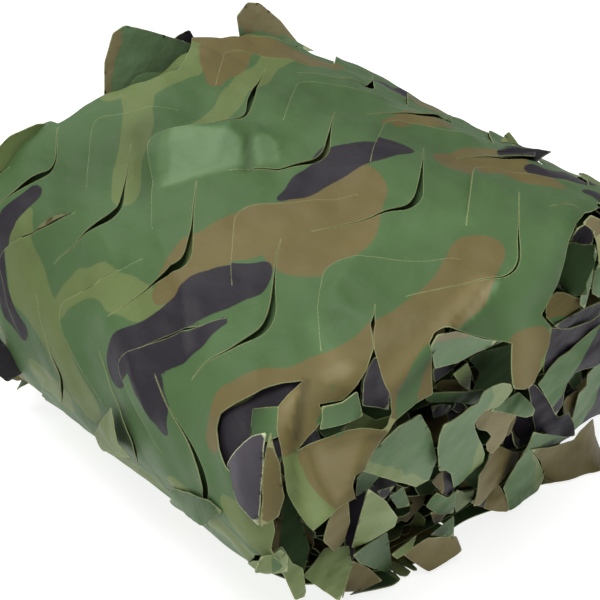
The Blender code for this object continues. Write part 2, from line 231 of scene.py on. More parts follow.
# Painted highlights and painted shade on the outer turn, where its folds catch or lose the light:
# a share of brightness gained or lost, a spread and the places (x, around) that it runs through
LIGHT_AND_SHADE_COLUMNS = ("gain", "spread", "path")
LIGHT_AND_SHADE_LINES = (
    (-0.20, 11, ((-19, -99), (0, -112), (19, -128))),
    (-0.25, 3.5, ((53, -67), (60, -73), (66, -79))),
    (-0.20, 26, ((-40, -140), (-20, -112), (-10, -80))),
    (-0.12, 40, ((0, 10), (60, 20), (140, 30))),
    (-0.10, 30, ((-60, -160), (-20, -220))),
    (-0.16, 40, ((-60, -230), (0, -250), (60, -300))),
    (0.14, 16, ((206, -20), (176, -80))),
    (0.12, 14, ((120, -110), (100, -150))),
    (0.30, 5, ((209, -180), (209, -192), (214, -204), (222, -218), (228, -232))),
    (-0.25, 5, ((217, -192), (225, -206), (232, -222), (238, -240))),
    (0.12, 9, ((240, -214), (252, -206), (262, -202))),
    (0.12, 8, ((240, -232), (248, -250), (250, -262))),
    (-0.28, 5, ((243, -199), (256, -187), (266, -182))),
    (-0.25, 5, ((268, -214), (264, -228), (268, -240))),
    (0.34, 5, ((249, -62), (250, -74), (252, -88), (252, -114), (251, -129), (249, -144))),
    (-0.30, 5, ((261, -90), (262, -114), (262, -130), (261, -146))),
    (0.30, 6, ((196, -140), (216, -150), (228, -152))),
    (0.50, 14, ((296, -56), (316, -76))),
    (0.30, 4, ((256, -60), (256, -70), (257, -82))),
    (0.34, 12, ((247, 8), (260, -22), (271, -42), (276, -52))),
)

# Painted highlights on facets of the pressed cloth, and one painted shade: a share of brightness,
# how soft its edge is, and its outline (x, around)
PATCH_COLUMNS = ("gain", "soft", "outline")
PATCHES = (
    (0.70, 3, ((14, -89), (48, -70), (53, -68), (63, -80), (60, -86), (50, -104), (36, -125), (31, -110))),
    (0.28, 3, ((14, -89), (31, -110), (35, -127), (24, -114), (17, -100))),
    (0.60, 3, ((55, -62), (56, -52), (63, -50), (75, -59), (69, -73))),
    (0.60, 2, ((252, -54), (256, -76), (258, -96), (262, -94), (261, -74), (256, -54))),
    (-0.38, 3, ((224, -204), (216, -186), (211, -169), (215, -167), (221, -180), (227, -202))),
    (0.45, 3, ((207, -187), (211, -180), (213, -176), (216, -186), (221, -198), (216, -195), (211, -194))),
    (0.35, 3, ((227, -209), (231, -206), (251, -242), (254, -254), (245, -267), (236, -235))),
    (0.50, 4, ((234, -202), (244, -191), (259, -180), (259, -201), (264, -230), (258, -244), (241, -215))),
    (0.30, 3, ((216, -161), (226, -147), (233, -146), (231, -157), (224, -165))),
)


def rows_of(columns, table):
    return [dict(zip(columns, row)) for row in table]


def columns_of(units, table):
    """A table's columns as arrays, by name, each in its own unit."""
    values = np.array(table, dtype=float)
    return {name: values[:, number] * unit for number, (name, unit) in enumerate(units.items())}


def metres(places):
    """Places of a table, which are millimetres, in metres."""
    return np.array(places, dtype=float) * MM


RIM = columns_of(RIM_COLUMNS, RIMS)
DROOP = columns_of(DROOP_COLUMNS, DROOPS)
SECOND = columns_of(SECOND_COLUMNS, SECOND_EDGE)


def section(x):
    """Half width, half height and centre height of the wound form at x."""
    half_width = HALF_WIDTH * (1.0 + WIDENING * x)
    top = HEIGHT - TOP_FALL * x
    half_height = (top + BASE_SINK) / 2.0
    return half_width, half_height, top - half_height


def angle_table():
    """Lengths round the section from its top line, and the angles that they stand for."""
    half_width, half_height, _ = section(0.0)
    angles = np.linspace(-math.pi, math.pi, 2 * ANGLE_STEPS + 1)
    steps = np.hypot(np.diff(half_width * np.sin(angles)), np.diff(half_height * np.cos(angles)))
    lengths = np.concatenate(([0.0], np.cumsum(steps)))
    return lengths - lengths[ANGLE_STEPS], angles


ARC_LENGTHS, ARC_ANGLES = angle_table()
PERIMETER = float(ARC_LENGTHS[-1] - ARC_LENGTHS[0])


def rims(around):
    """The x of the far and of the near rim, at places round the roll."""
    swing = RIM_SCALLOP * np.cos(2 * math.pi * around / (SLIT_PITCH_AROUND * MM) + RIM_PHASE)
    far = np.interp(around, RIM["around"], RIM["far_x"])
    near = np.interp(around, RIM["around"], RIM["near_x"])
    return far - swing, near + swing


def droop_angle(around):
    return np.interp(around, DROOP["around"], DROOP["degrees"])


def shoulder(x, around):
    """Share of the full section left at x: both ends round off."""
    far_x, near_x = rims(around)
    stiff = np.clip(1.0 - droop_angle(around) / LIMP_ANGLE, 0.0, 1.0)
    far = np.clip((far_x + SHOULDER - x) / SHOULDER, 0.0, SHOULDER_MOST)
    near = np.clip((x - near_x + SHOULDER) / SHOULDER, 0.0, SHOULDER_MOST)
    return 1.0 - FAR_DROP * far ** 2 - NEAR_DROP * near ** 2 * stiff


def roll_points(x, around, share, lift):
    """Points of a turn at a share of the section, lifted along its outward normal."""
    bend = np.interp(around, DROOP["around"], DROOP["bend_x"])
    limit = droop_angle(around)
    beyond = np.maximum(0.0, x - bend)
    turned = np.minimum(beyond / DROOP_RADIUS, limit)
    rest = np.maximum(0.0, beyond - limit * DROOP_RADIUS)
    along = DROOP_RADIUS * np.sin(turned) + rest * np.cos(limit)
    sunk = DROOP_RADIUS * (1.0 - np.cos(turned)) + rest * np.sin(limit)
    start = np.minimum(x, bend)
    half_width, half_height, middle = section(start)
    angle = np.interp(around, ARC_LENGTHS, ARC_ANGLES)
    side, up = np.sin(angle) / half_width, np.cos(angle) / half_height
    length = np.hypot(side, up)
    out = lift * np.cos(turned)
    y = half_width * share * np.sin(angle) + side / length * out - np.sin(angle) * sunk
    z = middle + half_height * share * np.cos(angle) + up / length * out - np.cos(angle) * sunk
    return np.stack([start + along + lift * np.sin(turned), y, floor_keep(z, FLOOR_SOFT)], axis=-1)


def end_x(end, place, around, share):
    """The x where an inner turn stops: on its end's plane, or deeper under the outer turn's droop."""
    foot, lean = END_PLANES[end]
    outer = np.clip((share - ROOM_FROM) / ROOM_OVER, 0.0, 1.0)
    room = DROOP_ROOM * droop_angle(around) / DROOP_ROOM_ANGLE * outer
    return foot + lean * place[..., 2] - (room if end > 0 else 0)


def under_cover(points, cover):
    """Keeps the inner turns' points beneath the outer turn, also where it droops."""
    half_width, half_height, middle = section(points[:, 0])
    angle = np.arctan2(points[:, 1] / half_width, (points[:, 2] - middle) / half_height)
    around = np.interp(angle, ARC_ANGLES, ARC_LENGTHS)
    limit = droop_angle(around)
    beyond = np.maximum(0.0, points[:, 0] - np.interp(around, DROOP["around"], DROOP["bend_x"]))
    bent = np.minimum(beyond, DROOP_RADIUS * np.sin(limit))
    sunk = DROOP_RADIUS - np.sqrt(DROOP_RADIUS ** 2 - bent ** 2) + (beyond - bent) * np.tan(limit)
    share = np.hypot(points[:, 1] / half_width, (points[:, 2] - middle) / half_height)
    most = np.maximum(COVER_LEAST, cover - sunk / half_height)
    squeeze = np.minimum(1.0, most / np.maximum(share, 1e-6))
    points = points.copy()
    points[:, 1] *= squeeze
    points[:, 2] = middle + (points[:, 2] - middle) * squeeze
    return points


def floor_keep(z, soft):
    """Cloth that would sink into the floor lies on it."""
    over = (z - REST_LIFT) / soft
    return REST_LIFT + soft * np.where(over > 20, over, np.log1p(np.exp(np.minimum(over, 20))))


def ripples(points, length, seed):
    """Uneven smooth waves of about that length, roughly from -1 to 1."""
    random = np.random.default_rng(seed)
    total = np.zeros(len(points))
    for _ in range(WAVE_COUNT):
        way = random.normal(size=points.shape[1])
        way /= np.linalg.norm(way)
        turn = 2 * math.pi / (length * random.uniform(*WAVE_SPREAD))
        total += np.sin(points @ way * turn + random.uniform(0, 2 * math.pi))
    return total / math.sqrt(WAVE_COUNT)


# ---------------------------------------------------------------- the woodland print

# Each blotch is a chain of round places (x, around, radius) joined by tapered stretches
PRINT_REPEAT = (480, 522.5)
PRINT = {
    "olive": (
        ((-72, -84, 12), (-52, -62, 13), (-52, -36, 11), (-66, -12, 9), (-80, 0, 8)),
        ((-46, -80, 14), (-22, -102, 11), (-6, -122, 12), (4, -134, 13)),
        ((4, -80, 5), (8, -62, 9), (0, -34, 10), (-16, -4, 10), (-32, 30, 8), (-36, 58, 6)),
        ((-62, -190, 8), (-54, -210, 13), (-38, -226, 16), (-10, -238, 13), (12, -252, 12),
         (28, -266, 11), (44, -276, 12)),
        ((0, -226, 8), (16, -206, 9), (34, -192, 9), (58, -192, 9), (78, -190, 9), (94, -186, 6)),
        ((192, -260, 6), (208, -264, 13), (230, -272, 18), (250, -280, 14)),
        ((-24, -288, 13), (12, -288, 12)),
        ((228, -214, 5), (235, -230, 9), (246, -250, 11), (250, -264, 12)),
        ((140, -282, 10), (170, -290, 14), (200, -300, 12)),
        ((120, 128, 9), (150, 140, 14), (180, 132, 11), (200, 150, 9)),
        ((-110, 110, 10), (-80, 128, 14), (-60, 160, 12), (-70, 190, 9)),
        ((20, 190, 9), (50, 204, 14), (90, 196, 10)),
        ((-150, -60, 9), (-170, -30, 14), (-160, 10, 12)),
        ((-130, -150, 10), (-150, -130, 13)),
    ),
    "brown": (
        ((130, -62, 31), (150, -92, 35)),
        ((136, -70, 22), (110, -114, 20), (94, -150, 14), (86, -178, 8)),
        ((-92, 14, 16), (-70, 34, 24), (-46, 58, 19), (-28, 84, 11)),
        ((-62, 10, 20), (-42, -10, 13), (-27, -30, 7)),
        ((156, 22, 19), (156, 52, 21), (180, 52, 13), (204, 56, 6)),
        ((234, -48, 17), (242, -74, 14), (244, -98, 13), (240, -120, 12), (230, -142, 10),
         (212, -164, 9), (190, -186, 10), (178, -206, 9), (174, -228, 8)),
        ((222, -172, 8), (218, -188, 9), (219, -200, 8), (222, -207, 6)),
        ((242, -120, 13), (244, -142, 12), (252, -160, 11), (262, -174, 10), (260, -200, 14),
         (258, -226, 13), (263, -246, 8)),
        ((236, -196, 8), (240, -208, 9)),
        ((228, -148, 8), (236, -156, 9), (241, -170, 9)),
        ((239, -212, 5), (245, -224, 5)),
        ((300, -46, 8), (300, -62, 12), (312, -72, 13), (316, -80, 10)),
        ((268, -112, 7), (276, -124, 8), (276, -140, 5)),
        ((86, 34, 11), (88, 52, 10), (96, 68, 6)),
        ((30, 120, 13), (60, 142, 20), (96, 146, 14)),
        ((-30, 150, 12), (-60, 168, 18), (-84, 186, 12)),
        ((-140, 60, 12), (-166, 90, 18), (-150, 130, 12)),
        ((-160, -240, 10), (-140, -210, 16), (-126, -190, 9)),
    ),
    "black": (
        ((140, -137, 12), (126, -151, 11.5), (112, -165, 11), (106, -183, 10), (98, -203, 11),
         (84, -219, 13), (76, -233, 12)),
        ((138, -168, 3), (131, -182, 6), (121, -197, 8), (108, -211, 10)),
        ((106, -214, 8), (116, -222, 7), (127, -230, 6), (134, -241, 4)),
        ((100, -82, 3), (102, -60, 9), (108, -36, 13), (118, -12, 12), (125, -2, 8)),
        ((-68, -172, 7), (-74, -196, 8), (-74, -216, 7), (-66, -236, 7), (-54, -249, 8),
         (-36, -258, 7)),
        ((182, 68, 10), (192, 90, 9), (198, 104, 7)),
        ((216, 76, 6), (228, 86, 9), (244, 96, 8)),
        ((-10, 110, 5), (0, 140, 9), (-14, 168, 10), (-6, 196, 6)),
        ((110, 166, 6), (128, 186, 9), (120, 212, 8)),
        ((-100, 200, 6), (-126, 214, 9), (-150, 200, 8)),
    ),
}
PRINT_COLOURS = tuple(PRINT)
PLAIN = 40.0                   # a field that is well inside its colour, in millimetres
OUTSIDE = -400.0               # a field that is far outside it
BLOTCH_SOFT = 3.0              # how softly the stretches of a chain run together
WOBBLE, WOBBLE_LENGTH = 2.2, 70       # a blotch's outline strays this far, over about that length
WOBBLE_SEEDS = (5, 6)


def chain_field(points, chain):
    """How far inside a blotch each point lies, in millimetres; minus outside."""
    best = np.full(len(points), OUTSIDE)
    for (x0, a0, r0), (x1, a1, r1) in zip(chain, chain[1:]):
        start, run = np.array((x0, a0), dtype=float), np.array((x1 - x0, a1 - a0), dtype=float)
        offset = points - start
        offset -= np.round(offset / PRINT_REPEAT) * PRINT_REPEAT
        way = np.clip(offset @ run / (run @ run), 0.0, 1.0)
        inside = r0 + (r1 - r0) * way - np.linalg.norm(offset - way[:, None] * run, axis=1)
        best = np.logaddexp(best / BLOTCH_SOFT, inside / BLOTCH_SOFT) * BLOTCH_SOFT
    return best


def print_fields(flat):
    """The print's fields at flat places on the cloth, in metres."""
    points = flat / MM
    wobble = np.stack([ripples(points, WOBBLE_LENGTH, seed) for seed in WOBBLE_SEEDS], axis=1)
    points = points + WOBBLE * wobble
    return {colour: np.max([chain_field(points, chain) for chain in PRINT[colour]], axis=0)
            for colour in PRINT_COLOURS}


# ---------------------------------------------------------------- meshes

CLOTH_MAP_SCALE = 10.0         # units of the cloth map per metre
FAR_FROM_CUT = 9.0             # a place in the cloth with no cut near it, in millimetres


def sheet_object(name, points, faces, flat, materials, tone, cut=FAR_FROM_CUT, fields=None):
    """A sheet with its flat places as a UV map, its print, its tone, which is its painted light and shade,
    and the way to its cut edges.
    Its area as it lies comes with it."""
    mesh = bpy.data.meshes.new(name)
    mesh.from_pydata([tuple(point) for point in points], [], [tuple(face) for face in faces])
    mesh.update()
    corner_places = np.empty(len(mesh.loops), dtype=np.int32)
    mesh.loops.foreach_get("vertex_index", corner_places)
    cloth_map = mesh.uv_layers.new(name="cloth")
    cloth_map.data.foreach_set("uv", (flat[corner_places] * CLOTH_MAP_SCALE).astype(np.float32).ravel())
    layers = dict(fields or print_fields(flat), cut=cut, tone=tone)
    for title, field in layers.items():
        layer = mesh.attributes.new(title, "FLOAT", "POINT")
        layer.data.foreach_set("value", np.full(len(points), field, dtype=np.float32))
    mesh.shade_smooth()
    loop_edges = np.empty(len(mesh.loops), dtype=np.int32)
    mesh.loops.foreach_get("edge_index", loop_edges)
    open_edges = np.bincount(loop_edges, minlength=len(mesh.edges)) == 1
    mesh.attributes.new("sharp_edge", "BOOLEAN", "EDGE").data.foreach_set("value", open_edges)
    piece = bpy.data.objects.new(name, mesh)
    bpy.context.scene.collection.objects.link(piece)
    for material in materials:
        mesh.materials.append(material)
    body = piece.modifiers.new("cloth", "SOLIDIFY")
    body.thickness = CLOTH_THICKNESS
    body.offset = 0.0
    body.material_offset_rim = 1
    return piece, cloth_area(points, faces)


def cloth_area(points, faces):
    """Area of the sheet as it lies."""
    total = 0.0
    for corners in (np.array([face for face in faces if len(face) == size]) for size in (3, 4)):
        for last in range(2, corners.shape[1] if len(corners) else 0):
            first, second, third = (points[corners[:, k]] for k in (0, last - 1, last))
            total += np.linalg.norm(np.cross(second - first, third - first), axis=1).sum() / 2
    return float(total)


def within(points, outline):
    """Whether each flat point lies inside a closed outline."""
    inside = np.zeros(len(points), dtype=bool)
    for start, stop in zip(outline, np.roll(outline, -1, axis=0)):
        if start[1] == stop[1]:
            continue
        level = (start[1] > points[:, 1]) != (stop[1] > points[:, 1])
        reach = start[0] + (stop[0] - start[0]) * (points[:, 1] - start[1]) / (stop[1] - start[1])
        inside ^= level & (points[:, 0] < reach)
    return inside


def spaced(path, step, closed=False):
    """A path's places at even steps."""
    path = np.asarray(path, dtype=float)
    if closed:
        path = np.concatenate([path, path[:1]])
    lengths = np.concatenate(([0], np.cumsum(np.linalg.norm(np.diff(path[:, :2], axis=0), axis=1))))
    count = max(4, int(lengths[-1] / step)) + 1
    places = np.linspace(0, lengths[-1], count)[:count - 1 if closed else count]
    return np.stack([np.interp(places, lengths, path[:, k]) for k in range(path.shape[1])], axis=1)


def apart_from(points, places):
    """How far each point is from the nearest of some places."""
    tree = KDTree(len(places))
    for number, place in enumerate(places):
        tree.insert((place[0], place[1], 0.0), number)
    tree.balance()
    return np.array([tree.find((point[0], point[1], 0.0))[2] for point in points])


def flat_mesh(loops, paths, grid):
    """Triangles that fill the first loop outside the others, keeping every path as edges."""
    places, edges, owners = [], [], []
    for number, line in enumerate(list(loops) + list(paths)):
        start, count = len(places), len(line)
        closed = number < len(loops)
        places += [tuple(place[:2]) for place in line]
        for step in range(count if closed else count - 1):
            edges.append((start + step, start + (step + 1) % count))
            owners.append(number - len(loops))
    places += [tuple(place) for place in grid]
    vertices, wires, triangles, _, sources, _ = delaunay_2d_cdt(
        [Vector(place) for place in places], edges, [], 0, 1e-7)
    flat = np.array([tuple(vertex) for vertex in vertices])
    triangles = np.array([tuple(face) for face in triangles])
    centres = flat[triangles].mean(axis=1)
    inside = within(centres, np.asarray(loops[0])[:, :2])
    for hole in loops[1:]:
        inside &= ~within(centres, np.asarray(hole)[:, :2])
    cuts = {}
    for wire, came_from in zip(wires, sources):
        for source in came_from:
            if source < len(owners) and owners[source] >= 0:
                cuts[tuple(sorted(wire))] = owners[source]
    return flat, triangles[inside], cuts


# ---------------------------------------------------------------- the outer turn

GRID_STEP = 4.4 * MM
FINE_STEP = 3.1 * MM          # on the side that is worked most finely
FINE_AROUND = (-330, 70)
RIM_STEP = 3 * MM
OUTLINE_SPACING = 2.2 * MM
TORN_JOIN = 2 * MM            # room between the plain rim and its torn stretch
SLIT_STEP = 2.0 * MM
SLIT_ARM_SHARE = 0.18         # how far along its arms a slit's rounded bend reaches
SLIT_BEND_PUSH = 0.08         # share of its depth that the bend is pushed out, as rounding draws it in
SLITS_END = 0.266             # the hanging tab beyond has none
SLIT_MARGIN = 4 * MM          # the least cloth between a slit and the outline
SLIT_CLEARANCE = 3.2 * MM     # the least cloth between two slits
SLIT_POINTS = 6               # a slit with fewer points is left out
SLIT_REACH = 42 * MM          # how far from a slit the cloth feels it
GAP_FADE = 11 * MM
LATTICE_COLUMNS, LATTICE_ROWS = range(-3, 5), range(-4, 5)
LATTICE_GAP, LATTICE_LIFT, LATTICE_REACH = (1.0, 5.0), (1.5, 4.0), 13
LATTICE_NUDGE, LATTICE_SEED = 1.5, 11
GRID_SEED = 3
GRID_ROW, GRID_NUDGE = 0.87, 0.07     # in steps: rows of even triangles, and how far a place strays
GRID_CLEAR = 0.5              # in steps too: the least way from a grid place to a line
BEND_STEPS = 9
# Soft waves of the outer turn: height in millimetres, length in metres and seed
OUTER_WAVES = ((1.5, 0.085, 21), (0.55, 0.03, 22))
CALM_AT, CALM_OVER = 0.40, 0.08       # this far from the top line folds are gone, having died out
PRESSED_FALL = 1.4            # how fast a fold that is pressed sharp falls off
OUTER_LIFT = 1.0 * MM
# How a slit closes towards its ends, the share of its gap that it has away from its widest place,
# and how its gap and the lift of its lips fade with the way from it
TAPER_POWER, GAP_LEFT, GAP_POWER, LIFT_POWER = 0.6, 0.08, 1.3, 1.2


def slit_path(upper, bend, lower):
    """A slit's places: two straight arms joined by a rounded bend."""
    upper, bend, lower = metres((upper, bend, lower))
    corner = bend + SLIT_BEND_PUSH * (bend - (upper + lower) / 2)
    start = corner + (upper - corner) * SLIT_ARM_SHARE
    stop = corner + (lower - corner) * SLIT_ARM_SHARE
    round_part = [start * (1 - w) ** 2 + corner * 2 * w * (1 - w) + stop * w ** 2
                  for w in np.linspace(0, 1, BEND_STEPS)]
    return spaced([upper] + round_part + [lower], SLIT_STEP)


def lattice_slits():
    """Slits of the places that no row of the table fills."""
    random = np.random.default_rng(LATTICE_SEED)
    rows = []
    for kind, shape in (("back", BACK_SLIT), ("front", FRONT_SLIT)):
        for column in LATTICE_COLUMNS:
            for row in LATTICE_ROWS:
                nudge = random.normal(0, LATTICE_NUDGE, 2)
                gap, lift = random.uniform(*LATTICE_GAP), random.uniform(*LATTICE_LIFT)
                if column in CHARTED_COLUMNS and row in CHARTED_ROWS and (kind == "front" or column >= 0):
                    continue
                step = np.array((column * SLIT_PITCH_ALONG, row * SLIT_PITCH_AROUND)) + nudge
                places = [tuple(np.array(place) + step) for place in shape]
                rows.append((kind,) + sum(places, ()) + (gap, lift, LATTICE_REACH))
    return rows


def torn_edge(rim, torn):
    """A plain rim with its torn stretch put in."""
    before = rim[:, 1] < torn[0, 1] - TORN_JOIN
    after = rim[:, 1] > torn[-1, 1] + TORN_JOIN
    return np.concatenate([rim[before], torn, rim[after]])


def outer_outline():
    """The outer turn's outline in (x, around), and its one wide opening."""
    around = np.arange(-PERIMETER / 2 + 1 * MM, PERIMETER / 2, RIM_STEP)
    far, near = (torn_edge(np.stack([rim_x, around], axis=1), metres(torn))
                 for rim_x, torn in zip(rims(around), (FAR_EDGE, NEAR_EDGE)))
    outline = np.concatenate([near, far[::-1]])
    return spaced(outline, OUTLINE_SPACING, closed=True), spaced(metres(OPENING), SLIT_STEP, closed=True)


def slit_table(outline):
    """Every slit that lies on the outer turn: its path, its gap, its lift and its kind."""
    made = []
    for slit in rows_of(SLIT_COLUMNS, SLITS + tuple(lattice_slits())):
        path = slit_path(*((slit[place + "_x"], slit[place + "_a"]) for place in ("up", "bend", "low")))
        clear = (apart_from(path, outline) > SLIT_MARGIN) & (path[:, 0] < SLITS_END)
        inside = within(path, outline) & clear
        if inside.sum() < SLIT_POINTS:
            continue
        first = int(np.argmax(inside))
        last = first + int(np.argmin(np.append(inside[first:], False)))
        path = path[first:last]
        if len(path) < SLIT_POINTS or any(crosses(path, other["path"]) for other in made):
            continue
        made.append({"path": path, "gap": slit["gap"] * MM, "lift": slit["lift"] * MM,
                     "reach": slit["reach"] * MM, "kind": slit["kind"]})
    return made


def crosses(path, other):
    distances = np.linalg.norm(path[:, None, :] - other[None, :, :], axis=2)
    return distances.min() < SLIT_CLEARANCE


def nearest_on_path(points, path):
    """Distance to a path, the share of the way along it, and the side: +1 towards +X."""
    best = np.full(len(points), 1e9)
    share, side = np.zeros(len(points)), np.ones(len(points))
    for number in range(len(path) - 1):
        run = path[number + 1] - path[number]
        offset = points - path[number]
        way = np.clip(offset @ run / (run @ run), 0.0, 1.0)
        distance = np.linalg.norm(offset - way[:, None] * run, axis=1)
        closer = distance < best - 1e-9
        best = np.where(closer, distance, best)
        share = np.where(closer, (number + way) / (len(path) - 1), share)
        turn = run[0] * offset[:, 1] - run[1] * offset[:, 0]
        side = np.where(closer, np.sign(turn), side)
    return best, share, side


def hex_places(low, high, step, seed):
    """Places of an even triangle grid, each nudged a little."""
    random = np.random.default_rng(seed)
    rows = np.arange(low[1], high[1], step * GRID_ROW)
    columns = np.arange(low[0], high[0], step)
    grid = np.array([(x + (step / 2 if number % 2 else 0), row)
                     for number, row in enumerate(rows) for x in columns])
    if not len(grid):
        return grid.reshape(0, 2)
    return grid + random.uniform(-GRID_NUDGE, GRID_NUDGE, grid.shape) * step


def outer_turn_mesh(outline, opening, slits):
    """A flat triangle mesh of the outer turn, in (x, around), cut open along its slits, and how far
    each of its points is from a cut."""
    low, high = outline.min(axis=0), outline.max(axis=0)
    first, last = metres(FINE_AROUND)
    parts = [(low[1], first, GRID_STEP), (first, last, FINE_STEP), (last, high[1], GRID_STEP)]
    paths = [slit["path"] for slit in slits]
    lines = np.concatenate([outline, opening] + paths)
    kept = []
    for number, (start, stop, step) in enumerate(parts):
        grid = hex_places((low[0], start), (high[0], stop), step, GRID_SEED + number)
        grid = grid[within(grid, outline) & ~within(grid, opening)]
        kept.append(grid[apart_from(grid, lines) > GRID_CLEAR * step])
    flat, triangles, cuts = flat_mesh([outline, opening], paths, np.concatenate(kept))
    flat, triangles, lips, owners = open_slits(flat, triangles, cuts, slits)
    return flat, triangles, lips, owners, apart_from(flat, lines)


def open_slits(flat, triangles, cuts, slits):
    """Gives each lip of a slit its own points, and says which side of its slit each point is on."""
    body = bmesh.new()
    places = [body.verts.new((place[0], place[1], 0.0)) for place in flat]
    owner_layer = body.edges.layers.int.new("owner")
    for face in triangles:
        body.faces.new([places[corner] for corner in face])
    body.edges.ensure_lookup_table()
    cut_edges = []
    for (first, second), owner in cuts.items():
        edge = body.edges.get((places[first], places[second]))
        if edge is not None:
            edge[owner_layer] = owner + 1
            cut_edges.append(edge)
    bmesh.ops.split_edges(body, edges=cut_edges)
    bmesh.ops.delete(body, geom=[vertex for vertex in body.verts if not vertex.link_faces], context="VERTS")
    body.verts.index_update()
    flat = np.array([tuple(vertex.co[:2]) for vertex in body.verts])
    triangles = np.array([[vertex.index for vertex in face.verts] for face in body.faces])
    lips, owners = np.zeros(len(flat)), np.full(len(flat), -1)
    for edge in body.edges:
        if not edge[owner_layer] or len(edge.link_faces) != 1:
            continue
        owner = edge[owner_layer] - 1
        ends = [vertex.index for vertex in edge.verts]
        third = next(v.index for v in edge.link_faces[0].verts if v.index not in ends)
        _, share, _ = nearest_on_path(flat[ends], slits[owner]["path"])
        if share[0] > share[1]:
            ends.reverse()
        run, offset = flat[ends[1]] - flat[ends[0]], flat[third] - flat[ends[0]]
        side = 1.0 if run[0] * offset[1] - run[1] * offset[0] > 0 else -1.0
        for vertex in ends:
            lips[vertex] += side
            owners[vertex] = owner
    body.free()
    return flat, triangles, np.sign(lips), owners


def fold_rise(flat):
    """Height that the folds add to the outer turn."""
    rise = np.zeros(len(flat))
    for fold in rows_of(FOLD_COLUMNS, FOLDS):
        distance, _, _ = nearest_on_path(flat, metres(fold["path"]))
        distance /= fold["spread"] * MM
        shape = np.exp(-distance * PRESSED_FALL) if fold["pressed"] else np.exp(-distance ** 2)
        rise += fold["rise"] * MM * shape
    return rise


def painted_light_tone(flat):
    """How bright the outer turn's cloth is painted at flat places: its painted highlights and shade."""
    tone = np.ones(len(flat))
    for light_line in rows_of(LIGHT_AND_SHADE_COLUMNS, LIGHT_AND_SHADE_LINES):
        distance, _, _ = nearest_on_path(flat, metres(light_line["path"]))
        tone += light_line["gain"] * np.exp(-(distance / (light_line["spread"] * MM)) ** 2)
    for patch in rows_of(PATCH_COLUMNS, PATCHES):
        outline = metres(patch["outline"])
        depth = apart_from(flat, spaced(outline, MM, closed=True)) * np.where(within(flat, outline), 1, -1)
        tone += patch["gain"] * np.clip(0.5 + depth / (patch["soft"] * MM), 0.0, 1.0)
    return tone


# How the lips of each kind of slit part and stand: the side of the tongue inside its bend, its widest
# place along it and how far that runs, the share of the gap that the tongue takes, and the lift of
# the tongue and of the other lip
LIP_COLUMNS = ("tongue", "peak", "spread", "tongue_share", "tongue_lift", "other_lift")
LIPS = {"back": (-1, 0.50, 0.16, 0.75, 0.45, 0.26), "front": (1, 0.24, 0.20, 0.5, 1.25, -0.16)}


def settle_outer_turn(flat, lips, owners, slits):
    """Where the outer turn's points lie: folds, parted slits and lifted lips."""
    shift, lift = np.zeros_like(flat), np.zeros(len(flat))
    for number, slit in enumerate(slits):
        path, form = slit["path"], dict(zip(LIP_COLUMNS, LIPS[slit["kind"]]))
        low, high = path.min(axis=0) - SLIT_REACH, path.max(axis=0) + SLIT_REACH
        near = np.nonzero(np.all((flat > low) & (flat < high), axis=1))[0]
        distance, share, side = nearest_on_path(flat[near], path)
        own = owners[near] == number
        side = np.where(own, lips[near], side)
        step = np.clip((share * (len(path) - 1)).astype(int), 0, len(path) - 2)
        run = path[step + 1] - path[step]
        run /= np.linalg.norm(run, axis=1)[:, None]
        outward = np.stack([-run[:, 1], run[:, 0]], axis=1)
        taper = np.clip(np.sin(math.pi * np.clip(share, 0, 1)), 0, 1) ** TAPER_POWER
        widest = np.exp(-((share - form["peak"]) / form["spread"]) ** 2)
        opening = slit["gap"] * taper * (GAP_LEFT + widest)
        on_tongue = side == form["tongue"]
        part = np.where(on_tongue, form["tongue_share"], 1 - form["tongue_share"])
        near_fade = np.exp(-(distance / GAP_FADE) ** GAP_POWER)
        shift[near] += outward * (side * opening * part * near_fade)[:, None]
        lip = slit["lift"] * taper * np.exp(-(distance / slit["reach"]) ** LIFT_POWER)
        lift[near] += lip * np.where(on_tongue, form["tongue_lift"], form["other_lift"]) * (side != 0)
    placed = flat + shift
    calm = np.clip((CALM_AT - np.abs(flat[:, 1])) / CALM_OVER, 0.0, 1.0)
    rise = fold_rise(flat)
    for height, length, seed in OUTER_WAVES:
        rise += height * MM * ripples(flat, length, seed)
    share = shoulder(placed[:, 0], placed[:, 1])
    return roll_points(placed[:, 0], placed[:, 1], share, (rise + lift) * calm + OUTER_LIFT)


def make_outer_turn(materials):
    outline, opening = outer_outline()
    slits = slit_table(outline)
    flat, triangles, lips, owners, cut = outer_turn_mesh(outline, opening, slits)
    points = settle_outer_turn(flat, lips, owners, slits)
    return sheet_object("outer_turn", points, triangles, flat, materials, painted_light_tone(flat), cut / MM)


# ---------------------------------------------------------------- inner turns

UNDER_DEPTH = 4.2 * MM        # the second turn lies this far below the outer one
UNDER_START = 14 * MM         # and starts this far in from its far rim
UNDER_PRINT = np.array((-0.089, 0.012))
UNDER_ACROSS, UNDER_ALONG = 280, 70
UNDER_WAVE, UNDER_WAVE_LENGTH, UNDER_SEED = 0.8 * MM, 0.05, 31
